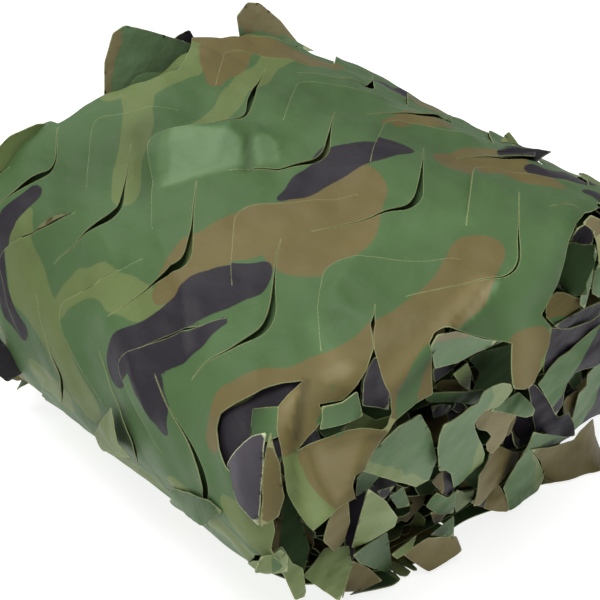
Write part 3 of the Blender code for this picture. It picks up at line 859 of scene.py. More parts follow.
# A little darker: painted shade under the outer turn
UNDER_TONE = 0.95
BAND_SHARES = (0.93, 0.85, 0.77, 0.69, 0.60, 0.51, 0.42, 0.32, 0.21, 0.10)
BAND_DEPTH = 50 * MM          # how far each inner turn is modelled into the roll
BAND_STEP, BAND_ROWS = 5 * MM, 10
BAND_ROW_POWER = 1.4          # rows crowd towards the edge by this
BAND_PRINT = (0.05, 0.11)     # how far apart turns lie in the print, along and around
BAND_TONE, BAND_DARK = 0.80, 60       # painted shade: tone at an edge, and how fast it falls deeper in, in millimetres
TOOTH_PITCH, TOOTH_POWER = 46 * MM, 0.8
TOOTH_HEIGHT = (12, 18)
TOOTH_WAVE, TOOTH_SET = 3, 8  # how much a ragged edge swings besides, and how far it is set back
WRINKLE, WRINKLE_LENGTH = 0.035, 0.05
SWAY, SWAYS = 0.02, 7         # how much a turn sways in and out, and how often round the roll
INNER_COVER = 0.955           # the share of the outer turn's section that the inner turns keep to
CORE_RINGS, CORE_STEPS = 30, 140
CORE_DEPTH, CORE_RIDGE, CORE_WAVE = 22 * MM, 7 * MM, 5 * MM
CORE_MIDDLE = 0.004           # the share of the section where the wall ends at its middle
RIDGE_RINGS = 3.0             # rings from ridge to ridge
CORE_WAVE_LENGTH, CORE_SEED, CORE_PRINT = 0.04, 51, 0.07
# Painted shade of the roll's deep inside
CORE_TONE = 0.35


def grid_faces(rows, columns, base=0):
    """Quads between the rows and columns of a grid of points."""
    wide = columns + 1
    return [(base + row * wide + column, base + row * wide + column + 1,
             base + (row + 1) * wide + column + 1, base + (row + 1) * wide + column)
            for row in range(rows) for column in range(columns)]


def make_under_turn(materials):
    """The second turn, seen through the open slits and under the arch."""
    around = np.linspace(-PERIMETER / 2, PERIMETER / 2, UNDER_ACROSS + 1)
    far_x, _ = rims(around)
    near_x = np.interp(around, SECOND["around"], SECOND["near_x"])
    points, flat, cut = [], [], []
    for step in range(UNDER_ALONG + 1):
        x = far_x + UNDER_START + (near_x - far_x - UNDER_START) * step / UNDER_ALONG
        place = np.stack([x, around], axis=1)
        lift = -UNDER_DEPTH + UNDER_WAVE * ripples(place, UNDER_WAVE_LENGTH, UNDER_SEED) + fold_rise(place)
        points.append(roll_points(x, around, shoulder(x, around), lift))
        flat.append(place + UNDER_PRINT)
        cut.append((near_x - x) / MM)
    points, flat, cut = map(np.concatenate, (points, flat, cut))
    faces = grid_faces(UNDER_ALONG, UNDER_ACROSS)
    return sheet_object("second_turn", points, faces, flat, materials, UNDER_TONE, cut)


def make_bands(name, end, materials, seed):
    """The ragged edges of the inner turns at one end."""
    random = np.random.default_rng(seed)
    points, faces, flat, cut = [], [], [], []
    for number, share in enumerate(BAND_SHARES):
        turn_length = PERIMETER * share
        across = max(24, int(turn_length / BAND_STEP))
        way = np.linspace(0, 1, across + 1)
        around = (way - 0.5) * PERIMETER
        wrinkle = ripples(np.stack([way * turn_length, 0 * way], axis=1), WRINKLE_LENGTH, seed + number)
        tooth_count = max(3, round(turn_length / TOOTH_PITCH))
        phase = way * tooth_count + random.uniform(0, 1)
        tooth = np.abs((phase % 1.0) - 0.5) * 2
        edge = (tooth ** TOOTH_POWER * random.uniform(*TOOTH_HEIGHT) + TOOTH_WAVE * wrinkle - TOOTH_SET) * MM
        base = sum(len(block) for block in points)
        rim_x = end_x(end, roll_points(0 * around, around, share, 0 * around), around, share)
        for step in range(BAND_ROWS + 1):
            inward = (step / BAND_ROWS) ** BAND_ROW_POWER
            x = rim_x + end * (edge * (1 - inward) - BAND_DEPTH * inward)
            sway = SWAY * np.sin(SWAYS * way * 2 * math.pi + number)
            squeeze = 1 + WRINKLE * wrinkle * (1 - inward) + sway
            placed = roll_points(x, around, share * squeeze, 0 * around)
            points.append(under_cover(placed, INNER_COVER) if end > 0 else placed)
            flat.append(np.stack([x, around * share], axis=1) + np.array(BAND_PRINT) * number)
            cut.append(inward * (BAND_DEPTH + edge) / MM)
        faces += grid_faces(BAND_ROWS, across, base)
    points, flat, cut = map(np.concatenate, (points, flat, cut))
    # Painted shade: the turns are darker the deeper they go into the roll
    tone = np.clip(BAND_TONE - cut / BAND_DARK, 0.2, 1.0)
    return sheet_object(name, points, faces, flat, materials, tone, cut)


def make_core(name, end, materials):
    """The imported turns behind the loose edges, as one rough dark wall of cloth."""
    points = []
    around = (np.arange(CORE_STEPS + 1) / CORE_STEPS - 0.5) * PERIMETER
    for ring in range(CORE_RINGS + 1):
        share = INNER_COVER * (1 - ring / CORE_RINGS) + CORE_MIDDLE
        place = roll_points(0 * around, around, share, 0 * around)
        ridge = CORE_RIDGE * math.cos(2 * math.pi * ring / RIDGE_RINGS)
        depth = CORE_DEPTH + ridge + CORE_WAVE * ripples(place[:, 1:], CORE_WAVE_LENGTH, CORE_SEED)
        x = end_x(end, place, around, share) - end * depth
        points.append(roll_points(x, around, share, 0 * around))
    points = np.concatenate(points)
    faces = grid_faces(CORE_RINGS, CORE_STEPS)
    return sheet_object(name, points, faces, points[:, 1:] + CORE_PRINT, materials, CORE_TONE)


# ---------------------------------------------------------------- leaves cut to an outline

# on says where the leaf lies: "end" on the near end's plane, out along +X, places (y, z); "deep" on
# the same plane in the dull deep cloth; "turn" on the outer turn, places (x, around); "far" on an
# upright plane at x = out, places (y, z). A third number in a place is its own way out. A leaf of
# two colours has main left of the line through split's two places and other right of it. tone is painted
# light and shade: below 1 a leaf is painted darker, as in shade, above 1 brighter, as where light catches it.
OUTLINE_COLUMNS = ("on", "main", "out", "puff", "tone", "places", "other", "split")
OUTLINE_LEAVES = (
    ("turn", "black", 4, 4, 2.6, ((212, -203), (205, -210), (191, -233), (191, -241), (199, -247),
     (210, -252), (217, -259), (218, -243), (216, -221))),
    ("turn", "brown", 7, 3, 0.9, ((212, -202), (222, -216), (227, -234), (226, -247), (219, -256),
     (219, -238), (215, -215))),
    ("end", "olive", -8, 2, 0.9, ((-186, 94), (-179, 94), (-172, 83), (-166, 73), (-156, 64), (-148, 40),
     (-148, 35), (-156, 37), (-171, 66), (-180, 80))),
    ("end", "olive", -4, 2, 1.05, ((-202, 92), (-201, 98), (-199, 103), (-190, 99), (-185, 100), (-177, 89),
     (-174, 73), (-184, 79), (-193, 86))),
    ("end", "olive", -12, 2, 0.75, ((-169, 67), (-159, 46), (-152, 32), (-144, 31), (-146, 38), (-158, 53))),
    ("turn", "olive", 4, 5, 0.95, ((48, -294), (66, -272), (78, -256), (86, -258), (92, -266), (96, -282),
     (72, -294), (46, -310))),
    ("turn", "green", 3, 3, 0.95, ((136, -283), (117, -311), (151, -296), (169, -289), (189, -266),
     (178, -264), (157, -272))),
    ("end", "green", -7, 3, 1.1, ((-174, 199), (-158, 195), (-148, 198), (-138, 176), (-152, 177),
     (-166, 177, -12), (-168, 186, -10))),
    ("end", "black", -13, 1, 2.4, ((-133, 212), (-128, 211), (-122, 198), (-112, 178), (-109, 164),
     (-120, 171), (-133, 178), (-137, 196), (-136, 206))),
    ("deep", "green", -19, 0, 0.5, ((-130, 176), (-94, 157), (-90, 138), (-126, 162))),
    ("end", "olive", -11, 1, 0.78, ((-149, 167), (-134, 174), (-120, 162), (-106, 160), (-106, 149),
     (-129, 156))),
    ("deep", "green", -17, 0, 0.5, ((-135, 206), (-123, 210), (-107, 174), (-133, 187))),
    ("end", "black", -15, 0, 0.68, ((-177, 176), (-167, 178), (-158, 163), (-169, 160))),
    ("end", "green", -1, 5, 1.08, ((-134, 137), (-130, 150), (-113, 161), (-96, 162), (-79, 139), (-59, 103),
     (-60, 86), (-72, 87), (-104, 113)), "olive", ((-133, 146), (-61, 87))),
    ("end", "green", -2, 6, 1.25, ((-39, 143), (-47, 144), (-53, 141), (-61, 140), (-69, 141), (-69, 132),
     (-66, 119), (-60, 105), (-55, 94), (-47, 90), (-39, 82), (-33, 71), (-28, 62), (-22, 62), (-15, 65),
     (-8, 67), (0, 69), (-4, 80), (-13, 93), (-23, 106), (-31, 117), (-35, 125), (-32, 129), (-27, 131),
     (-20, 129), (-13, 127), (-7, 131), (-3, 136), (-9, 144), (-20, 150), (-30, 152), (-38, 152)), "olive",
     ((-14, 67), (-20, 101))),
    ("end", "green", -7, 2, 0.85, ((-82, 164), (-77, 164), (-61, 158), (-45, 151), (-28, 146), (-23, 134),
     (-36, 137), (-52, 146), (-63, 151), (-76, 156), (-81, 160))),
    ("end", "brown", -7, 2, 1.65, ((-97, 208), (-94, 215), (-76, 210), (-39, 188), (-15, 176), (-44, 180),
     (-62, 181), (-85, 187)), "green", ((-97, 211), (-75, 204))),
    ("end", "olive", -10, 2, 0.8, ((-60, 170), (-49, 174), (-41, 163), (-35, 145), (-49, 157))),
    ("end", "brown", -13, 1, 0.72, ((-70, 161), (-63, 164), (-51, 160), (-33, 143), (-52, 150))),
    ("deep", "green", -17, 2, 0.25, ((-38, 169), (-24, 169), (2, 163), (24, 115), (-20, 135), (-20, 150))),
    ("end", "black", -13, 1, 0.72, ((-77, 180), (-51, 174), (-61, 169), (-71, 167))),
    ("end", "black", -12, 2, 0.75, ((-69, 148), (-59, 145), (-47, 138), (-51, 133), (-62, 135))),
    ("end", "green", -4, 3, 1.3, ((-15, 122), (-9, 124), (-1, 123), (6, 124), (14, 124), (21, 117), (29, 109),
     (36, 100), (35, 96), (27, 98), (12, 107), (-3, 116))),
    ("end", "brown", -8, 3, 1.45, ((-22, 118), (-17, 120), (-9, 119), (5, 112), (21, 101), (17, 96), (17, 91),
     (17, 83), (14, 76), (10, 72), (4, 77), (0, 85), (2, 91), (-5, 99), (-15, 105), (-20, 112))),
    ("end", "brown", -10, 1, 0.7, ((27, 98), (22, 94), (20, 88), (21, 79), (28, 78), (29, 85), (29, 92))),
    ("deep", "black", -18, 1, 1, ((36, 90), (56, 80), (69, 67), (74, 53), (72, 45), (60, 45), (45, 51),
     (34, 64), (39, 70))),
    ("end", "brown", -10, 4, 1, ((13, 71), (22, 70), (39, 57), (51, 48), (50, 42), (46, 36), (40, 33),
     (35, 31), (27, 30), (21, 26), (16, 23), (7, 27), (8, 36), (7, 45), (5, 54), (10, 58), (13, 63))),
    ("end", "brown", -4, 3, 1, ((21, 43), (31, 31), (40, 18), (50, 4), (43, 4, -1), (34, 7), (20, 16),
     (20, 25), (20, 33))),
    ("end", "black", -8, 1, 0.8, ((8, 31), (19, 29), (26, 34), (30, 35), (28, 25), (28, 16), (29, 9),
     (14, 21), (3, 31))),
    ("end", "green", -3, 4, 1.05, ((50, 57), (63, 43), (74, 28), (81, 15), (78, 5), (68, 4, -3), (54, 4, -1),
     (45, 4, -1), (39, 19), (31, 32), (34, 39), (39, 51), (43, 56)), "olive", ((76, 4), (55, 52))),
    ("end", "brown", -9, 4, 0.85, ((57, 52), (80, 42), (100, 35), (117, 30), (119, 38), (131, 44), (147, 20),
     (153, 4, 0), (130, 4, 18), (119, 4, 14), (108, 4, 10), (97, 4, 5), (86, 4, 0), (78, 4, -6), (90, 5),
     (89, 14), (79, 29))),
    ("end", "green", -7, 2, 0.95, ((48, 74), (63, 64), (84, 53), (100, 47), (114, 33), (96, 37), (77, 44),
     (57, 51), (46, 50), (49, 59), (50, 66))),
    ("end", "black", -5, 2, 0.95, ((24, 127), (32, 114), (42, 94), (54, 71), (73, 59), (87, 52), (97, 49),
     (91, 63), (80, 78), (72, 76), (56, 97), (36, 119))),
    ("end", "green", 0, 3, 1.05, ((77, 158), (65, 155), (57, 150), (49, 146), (40, 144), (33, 137), (27, 127),
     (43, 108), (61, 85), (64, 93), (60, 106), (60, 114), (64, 121), (74, 120), (86, 117), (96, 119)),
     "black", ((60, 113), (72, 149))),
    ("end", "black", -4, 3, 0.95, ((19, 175), (44, 164), (67, 161), (82, 165), (94, 141), (63, 140),
     (41, 120), (32, 137))),
    ("end", "brown", -6, 2, 0.95, ((88, 92), (77, 91), (75, 87), (81, 75), (96, 56), (97, 65), (96, 77))),
    ("end", "green", -4, 3, 0.95, ((104, 114), (93, 112), (87, 108), (92, 96), (84, 93), (88, 79), (92, 64),
     (102, 48), (109, 50), (123, 51), (140, 47), (118, 88)), "black", ((114, 47), (114, 90))),
    ("deep", "black", -14, 0, 0.9, ((26, 235), (29, 241), (39, 242), (51, 230), (56, 220), (42, 223))),
    ("deep", "green", -8, 7, 0.35, ((16, 239), (31, 231), (45, 226), (50, 217), (50, 206), (47, 196),
     (52, 186), (39, 190), (30, 196), (16, 212), (17, 221), (16, 230))),
    ("end", "green", -3, 2, 1.15, ((39, 229), (44, 222), (45, 210), (48, 198), (51, 186), (52, 177),
     (44, 183), (41, 193), (38, 207), (38, 218))),
    ("deep", "brown", -6, 6, 0.8, ((10, 194), (10, 202), (14, 203), (24, 199), (37, 191), (50, 184),
     (52, 178), (44, 176), (36, 173), (28, 173), (16, 183)), "green", ((16, 182), (52, 174))),
    ("end", "brown", -2, 2, 1.05, ((15, 254), (20, 258), (31, 251), (50, 211), (45, 216), (36, 232),
     (27, 245))),
    ("end", "green", -4, 3, 1.05, ((52, 207), (52, 212), (59, 204), (71, 181), (66, 180), (56, 187),
     (53, 196))),
    ("end", "black", -5, 3, 0.95, ((26, 173), (36, 174), (52, 175), (59, 175), (72, 174), (80, 158),
     (63, 155), (50, 160), (36, 166))),
    ("deep", "green", -18, 2, 0.3, ((-176, 125), (-171, 128), (-153, 90), (-142, 66), (-143, 50), (-149, 45),
     (-169, 81))),
    ("end", "olive", -6, 4, 0.9, ((-141, 70), (-120, 63), (-112, 42), (-116, 14), (-139, 38), (-155, 54),
     (-148, 61))),
    ("end", "brown", -6, 6, 0.9, ((-143, 108), (-133, 110), (-126, 88), (-126, 69), (-133, 65), (-146, 83),
     (-146, 98))),
    ("deep", "black", -16, 2, 1, ((-119, 95), (-102, 96), (-101, 58), (-99, 28), (-100, -1), (-109, 43))),
    ("deep", "black", -15, 0, 1, ((-114, 32), (-84, 34), (-66, 30), (-62, 7), (-88, 6), (-114, 7))),
    ("end", "brown", -9, 2, 0.82, ((-107, 38), (-89, 22), (-75, 5, -6), (-93, 5, -6), (-111, 11))),
    ("end", "olive", 1, 4, 1.3, ((-125, 117), (-105, 97), (-89, 75), (-89, 67), (-109, 65), (-125, 67),
     (-126, 97))),
    ("end", "green", -4, 3, 0.65, ((-118, 59), (-101, 59), (-88, 58), (-75, 27), (-69, 4, 0), (-92, 27),
     (-108, 44))),
    ("end", "brown", -1, 2, 1.2, ((-69, 26, 2), (-44, 28), (-15, 16), (-12, 4, 6), (-30, 4, 10),
     (-48, 4, 12))),
    ("end", "green", -3, 1, 0.97, ((-39, 26), (-18, 32), (-10, 8))),
    ("end", "olive", -5, 1, 0.93, ((-73, 26), (-52, 33), (-53, 21), (-65, 17))),
    ("end", "green", -16, 2, 0.65, ((-62, 7), (-44, 0), (-50, 4, 7), (-75, 4, 4), (-102, 4, -8), (-73, -10))),
    ("end", "brown", -9, 1, 0.85, ((-47, 75), (-43, 80), (-36, 80), (-27, 71), (-19, 58), (-19, 50),
     (-25, 51), (-33, 58)), "black", ((-28, 53), (-37, 80))),
    ("end", "green", -8, 3, 0.85, ((-40, 63), (-25, 50), (-19, 53), (-15, 42), (-12, 28), (-22, 33),
     (-32, 39), (-46, 53), (-44, 59))),
    ("end", "olive", -9, 2, 0.7, ((-17, 53), (-5, 43), (6, 39), (7, 29), (0, 26), (-6, 24), (-13, 36))),
    ("end", "brown", -11, 1, 0.78, ((-35, 40), (-15, 30), (-19, 21), (-26, 24))),
    ("end", "black", -9, 1, 0.82, ((-103, 98), (-86, 93), (-94, 85))),
    ("end", "green", -12, 2, 0.75, ((-86, 84), (-74, 85), (-57, 56), (-71, 63))),
    ("end", "green", -12, 3, 0.75, ((-122, 118), (-117, 122), (-100, 108), (-107, 99), (-117, 98))),
    ("far", "green", -100, 8, 2.1, ((-72, 250), (-69, 283), (-60, 301), (-49, 304), (-29, 296), (8, 280),
     (10, 268), (-12, 255), (-38, 250)), "brown", ((-51, 305), (-63, 269))),
    ("far", "black", -108, 2, 0.95, ((-6, 282), (2, 286), (13, 288), (18, 279), (15, 271))),
    ("far", "brown", -98, 6, 2.4, ((53, 273), (50, 293), (61, 301), (73, 298), (93, 281), (111, 260),
     (129, 249), (68, 259)), "green", ((63, 280), (114, 260))),
    ("far", "brown", -106, 3, 0.95, ((59, 270), (60, 282), (68, 287), (75, 273), (73, 264))),
    ("far", "olive", -108, 9, 1.35, ((-160, 233), (-143, 243), (-121, 247), (-104, 244), (-114, 229),
     (-132, 219), (-148, 203), (-165, 194))),
    ("far", "brown", -102, 3, 0.95, ((-146, 206), (-132, 223), (-115, 231), (-123, 214))),
    ("far", "black", -70, 3, 0.95, ((-195, 129), (-183, 107), (-173, 86), (-188, 83), (-199, 97))),
    ("turn", "green", -2.2, 0, 1, ((189, -199), (195, -195), (206, -188), (210, -196), (213, -204),
     (206, -211), (199, -218))),
    # The darkened turn leaves below, of tone 0.6 or less, are painted shade: dark slit openings, and at out
    # -2.5 the shade seen through open slits under the outer turn
    ("turn", "black", 1, 1, 0.55, ((146, 60), (156, 68), (169, 76, 2), (165, 96, 9), (150, 80, 5))),
    ("turn", "brown", 0.5, 0, 0.5, ((-46, -192), (-43, -185), (-35, -177), (-22, -169), (-32, -179),
     (-39, -187))),
    ("turn", "black", -2.5, 0, 0.5, ((3, 43), (5, 57), (12, 70), (20, 83), (29, 57), (18, 46))),
    ("turn", "black", -2.5, 0, 0.5, ((24, 22), (27, 38), (29, 57), (41, 68), (59, 63), (50, 44), (37, 33))),
    ("turn", "black", -2.5, 0, 0.5, ((71, 31), (69, 52), (65, 68), (57, 83), (70, 77), (86, 86), (96, 75),
     (90, 59), (76, 46))),
    ("turn", "black", -2.5, 0, 0.5, ((103, 47), (113, 64), (122, 76), (134, 80), (131, 55), (119, 47))),
    ("turn", "black", 3, 1, 0.6, ((146, 50), (140, 67), (134, 91, 4), (139, 112, 4), (168, 76, 3),
     (157, 60))),
    ("turn", "olive", 3, 1, 0.9, ((136, 80, 4), (126, 99, 11), (137, 99, 4))),
    ("turn", "black", -2.5, 0, 0.5, ((176, 47), (186, 60), (199, 79), (209, 82), (202, 60))),
)
OUTLINE_STEP = 3.2
# By where the leaves lie: their piece, how much they rumple and how bright they are painted, as painted light
WALLS = {"end": ("end_leaves", 1.0, 1.2), "deep": ("deep_leaves", 1.0, 1.0),
         "turn": ("rim_leaves", 0.5, 1.0), "far": ("far_flaps", 0.3, 1.0)}
BULGE_WAY = (0.66, -0.59, 0.46)   # hanging leaves bulge forward, to the front and up
NIP, NIP_STEP = 0.9, 2.4      # how much of a leaf's corner is off, and the steps along its sides
NIP_MOST = 0.12               # the most that a corner takes of a side, as a share
SPLIT_WAVE, SPLIT_LENGTH = 1.6, 22    # how far the line between a leaf's two colours strays
FULL_SIZE, LEAST_SIZE = 30.0, 0.3     # a leaf this wide is rumpled in full; the least share of it
LEAF_SLOPE, LEAF_SHADE = 0.28, 0.17   # how unlike leaves are in their lean and across their tone
PUFF_LEAST, SHADE_LEAST = 4.0, 8.0    # the least half widths that its puff and shade spread over
CREASE_PITCH, CREASE_RISE = 9.0, 1.1
CREASE_SWING, CREASE_LENGTH = 3, 40   # how far a crease strays, and over what length
WAVE_LONG, WAVE_SHORT, SHORT_SHARE = 25, 9, 0.3
LEAF_SOFT = 0.0015            # how softly a leaf comes to lie on the floor


def leaf_fields(leaf, flat, seed):
    """A leaf's print: one colour, or two that meet at a wavy line."""
    fields = {colour: np.full(len(flat), -PLAIN) for colour in PRINT_COLOURS}
    upper, lower = leaf["main"], leaf.get("other")
    if lower:
        start, stop = np.array(leaf["split"], dtype=float)
        run = (stop - start) / np.linalg.norm(stop - start)
        offset = flat - start
        reach = offset[:, 1] * run[0] - offset[:, 0] * run[1] - SPLIT_WAVE * ripples(flat, SPLIT_LENGTH, seed)
        order = ("green",) + PRINT_COLOURS
        if order.index(lower) > order.index(upper):
            upper, lower, reach = lower, upper, -reach
        fields[upper] = reach
    ground = lower or upper
    if ground in fields:
        fields[ground] += 2 * PLAIN
    return fields


def on_wall(wall, places, out, bulge):
    """Points of a leaf, from its flat places, its way out and its bulge, all in millimetres."""
    u, v, out, bulge = places[:, 0] * MM, places[:, 1] * MM, out * MM, bulge * MM
    if wall == "turn":
        under = np.where(out < 0, fold_rise(places[:, :2] * MM), 0.0)
        return roll_points(u, v, 1.0, out + bulge + under)
    base = out if wall == "far" else END_FOOT + END_LEAN * v + out
    return np.stack([base, u, v], axis=-1) + bulge[:, None] * np.array(BULGE_WAY)


def nipped(places):
    """A closed outline with only the tips of its corners off, at even steps along each side."""
    sides = []
    for start, stop in zip(places, np.roll(places, -1, axis=0)):
        length = np.linalg.norm((stop - start)[:2])
        ends = min(NIP_MOST, NIP / length)
        ways = np.linspace(ends, 1 - ends, max(1, math.ceil(length / NIP_STEP)) + 1)
        sides.append(start + (stop - start) * ways[:, None])
    return np.concatenate(sides)


def outline_leaf(leaf, seed):
    """One leaf: its points, faces, flat places, print, way to its edge and tone."""
    random = np.random.default_rng(seed)
    outline = nipped(np.array([tuple(place) + (leaf["out"],) * (3 - len(place))
                               for place in leaf["places"]], dtype=float))
    low, high = outline[:, :2].min(axis=0), outline[:, :2].max(axis=0)
    grid = hex_places(low, high, OUTLINE_STEP, seed)
    grid = grid[within(grid, outline[:, :2])]
    grid = grid[apart_from(grid, outline) > GRID_CLEAR * OUTLINE_STEP]
    flat, faces, _ = flat_mesh([outline], [], grid)
    from_middle = flat - (low + high) / 2
    weight = 1.0 / (0.5 + np.linalg.norm(flat[:, None, :] - outline[None, :, :2], axis=2)) ** 2
    out = (weight * outline[:, 2]).sum(axis=1) / weight.sum(axis=1)
    size = np.clip((high - low).min() / FULL_SIZE, LEAST_SIZE, 1.0)
    _, rumple, brightness = WALLS[leaf["on"]]
    bearing = random.uniform(0, math.pi)
    across = from_middle @ np.array((math.cos(bearing), math.sin(bearing)))
    bulge = leaf["puff"] * (1 - (across / max(PUFF_LEAST, np.abs(across).max())) ** 2)
    slope = random.normal(0, LEAF_SLOPE, 2) * rumple
    bulge += size * (from_middle @ slope)
    crease = across + CREASE_SWING * ripples(flat, CREASE_LENGTH, seed)
    crease = crease / CREASE_PITCH + random.uniform(0, 1)
    crease = np.abs(crease % 2 - 1)
    waves = (ripples(flat, WAVE_LONG, seed) + CREASE_RISE * crease
             + SHORT_SHARE * ripples(flat, WAVE_SHORT, seed + 1))
    bulge += rumple * size * waves
    points = on_wall(leaf["on"], flat, out, bulge)
    points[:, 2] = floor_keep(points[:, 2], LEAF_SOFT)
    shade = random.normal(0, LEAF_SHADE, 2) / np.maximum(SHADE_LEAST, (high - low) / 2)
    tone = leaf["tone"] * brightness * (1 + from_middle @ shade)
    return points, faces, flat * MM, leaf_fields(leaf, flat, seed), apart_from(flat, outline), tone


def make_outline_leaves(wall, materials, seed):
    made = [outline_leaf(leaf, seed + 7 * number)
            for number, leaf in enumerate(rows_of(OUTLINE_COLUMNS, OUTLINE_LEAVES)) if leaf["on"] == wall]
    return join_leaves(WALLS[wall][0], made, materials)


def join_leaves(name, made, materials):
    """Leaves joined into one piece."""
    faces, base = [], 0
    for points, leaf_faces, *_ in made:
        faces += [tuple(base + corner for corner in face) for face in leaf_faces]
        base += len(points)
    points, flat, cut, tone = (np.concatenate([leaf[k] for leaf in made]) for k in (0, 2, 4, 5))
    fields = {colour: np.concatenate([leaf[3][colour] for leaf in made]) for colour in PRINT_COLOURS}
    return sheet_object(name, points, faces, flat, materials, tone, cut, fields)


# ---------------------------------------------------------------- leaves swept from root to tip

# root and tip are points; the widths run from root to tip; bow is how far the leaf stands proud;
# turn rolls it about its own length; sweep bends it sideways; (px, pa) is its place in the print,
# spin the print's turn on it; end is how its tip is cut
LEAF_COLUMNS = ("root_x", "root_y", "root_z", "tip_x", "tip_y", "tip_z", "root_w", "mid_w", "tip_w",
                "bow", "turn", "sweep", "px", "pa", "spin", "end")
FAR_LEAVES = (
    (-92, 130, 208, -120, 140, 238, 46, 36, 10, 5, 10, 0, 84, -220, 0, "point"),
    (-120, -146, 140, -158, -154, 108, 44, 40, 12, 6, 20, 0, -40, -226, 0, "point"),
    (-146, -104, 62, -192, -102, 20, 48, 44, 16, 6, -10, 0, 80, -200, 0, "round"),
    (-150, -60, 48, -190, -56, 16, 44, 40, 12, 5, 10, 0, 60, -130, 0, "point"),
    (-150, 14, 52, -192, 8, 18, 48, 44, 14, 6, -10, 0, 130, -90, 0, "round"),
    (-148, 80, 52, -188, 88, 18, 44, 42, 14, 6, 10, 0, 30, -90, 0, "point"),
    (-142, 132, 84, -180, 142, 44, 42, 38, 12, 6, -15, 0, 30, 130, 0, "point"),
    (-124, 150, 146, -164, 158, 114, 40, 36, 12, 6, 15, 0, 90, -220, 0, "round"),
    (-104, 0, 216, -146, 4, 172, 52, 46, 14, 8, 10, 0, 60, -60, 0, "point"),
    (-108, 70, 196, -150, 78, 152, 48, 44, 14, 8, -15, 0, 160, -100, 0, "round"),
    (-108, -66, 190, -150, -76, 146, 50, 46, 14, 8, 15, 0, -50, -80, 0, "point"),
    (-124, -10, 146, -166, -16, 104, 48, 44, 14, 8, -10, 0, 84, -226, 0, "round"),
    (-128, 84, 122, -170, 90, 86, 46, 42, 12, 7, 10, 0, 40, -130, 0, "point"),
    (-130, -86, 112, -174, -92, 76, 44, 42, 12, 7, -10, 0, 140, -90, 0, "point"),
)
SIDE_TABS = (
    (20, 118, 36, 26, 158, 16, 38, 30, 10, 5, 10, 0, 150, -90, 0, "round"),
    (110, 120, 36, 116, 162, 16, 38, 30, 10, 5, -10, 0, 60, -130, 0, "point"),
    (-60, 116, 36, -66, 154, 16, 36, 30, 10, 5, 10, 0, -40, -226, 0, "point"),
)
LEAF_LONG, LEAF_WIDE = 14, 8          # steps along and across a leaf
SMALL_LONG, SMALL_WIDE = 10, 6
LEAF_TONE = 0.9
TIP_POWER = {"point": 1.25, "round": 2.6}
ROUND_FROM, ROUND_OVER = 0.86, 0.15   # where a round tip starts to close, and over what share
SWEPT_SOFT = 0.002
CRUMPLES = ((1.6, 0.030), (0.5, 0.012))     # height in millimetres and length in metres
HOLD = 0.33                   # how far along a leaf its root's way and its tip's way are felt
TIP_BOW = 0.8                 # the share of its bow near the tip
CUP, CUP_LEVEL = (-0.22, 0.32), 0.35  # how hollow it is; it is level where its way across squared is this
ROUND_LEAST = 0.04


def unit(vector):
    return vector / max(1e-9, np.linalg.norm(vector))


def leaf_frame(leaf, end):
    """A leaf's root and tip, the way that it leaves its turn and the way that its face looks. end is
    0 for a leaf on the roll's side."""
    root, tip = (metres([leaf[place + axis] for axis in ("_x", "_y", "_z")]) for place in ("root", "tip"))
    outward = unit(np.array([0.0, root[1], root[2] - HEIGHT / 2]))
    if end:
        return root, tip, np.array([float(end), 0.0, 0.0]), outward * 0.5 + np.array([end, 0.0, 0.2])
    return root, tip, unit(tip - root), outward


def leaf_grid(leaf, end, seed, long_steps, wide_steps, tone):
    """One leaf that leaves its turn and bends to its tip, as a grid."""
    root, tip, start_way, face = leaf_frame(leaf, end)
    reach = np.linalg.norm(tip - root)
    run = unit(tip - root)
    face = unit(face - run * (face @ run))
    side = np.cross(run, face)
    turn = math.radians(leaf["turn"])
    face, side = (face * math.cos(turn) + side * math.sin(turn),
                  side * math.cos(turn) - face * math.sin(turn))
    first = root + start_way * reach * HOLD + face * leaf["bow"] * MM
    second = tip - run * reach * HOLD + face * leaf["bow"] * MM * TIP_BOW
    cup = np.random.default_rng(seed).uniform(*CUP)
    spin = math.radians(leaf["spin"])
    points, flat, cut = [], [], []
    for step in range(long_steps + 1):
        way = step / long_steps
        middle = (root * (1 - way) ** 3 + first * 3 * way * (1 - way) ** 2
                  + second * 3 * way ** 2 * (1 - way) + tip * way ** 3)
        half = leaf_half_width(leaf, way)
        swing = leaf["sweep"] * MM * math.sin(math.pi * way)
        for column in range(wide_steps + 1):
            across = 2 * column / wide_steps - 1
            bend = cup * half * (across ** 2 - CUP_LEVEL)
            points.append(middle + side * (across * half + swing) + face * bend)
            along, over = (way - 0.5) * reach, across * half
            flat.append((leaf["px"] * MM + along * math.cos(spin) - over * math.sin(spin),
                         leaf["pa"] * MM + along * math.sin(spin) + over * math.cos(spin)))
            cut.append(min((1 - abs(across)) * leaf["mid_w"] / 2, (1 - way) * reach / MM))
    points, flat = np.array(points), np.array(flat)
    crumple = sum(height * MM * ripples(points, length, seed + number)
                  for number, (height, length) in enumerate(CRUMPLES))
    points = points + face * crumple[:, None]
    points[:, 2] = floor_keep(points[:, 2], SWEPT_SOFT)
    faces = grid_faces(long_steps, wide_steps)
    return points, faces, flat, print_fields(flat), np.array(cut), np.full(len(points), tone)


def leaf_half_width(leaf, way):
    """Half of the leaf's width at a share of its length."""
    if way < 0.5:
        width = leaf["root_w"] + (leaf["mid_w"] - leaf["root_w"]) * math.sin(math.pi * way)
    else:
        width = leaf["mid_w"] + (leaf["tip_w"] - leaf["mid_w"]) * (way * 2 - 1) ** TIP_POWER[leaf["end"]]
    if leaf["end"] == "round" and way > ROUND_FROM:
        width *= math.sqrt(max(ROUND_LEAST, 1 - ((way - ROUND_FROM) / ROUND_OVER) ** 2))
    return width * MM / 2


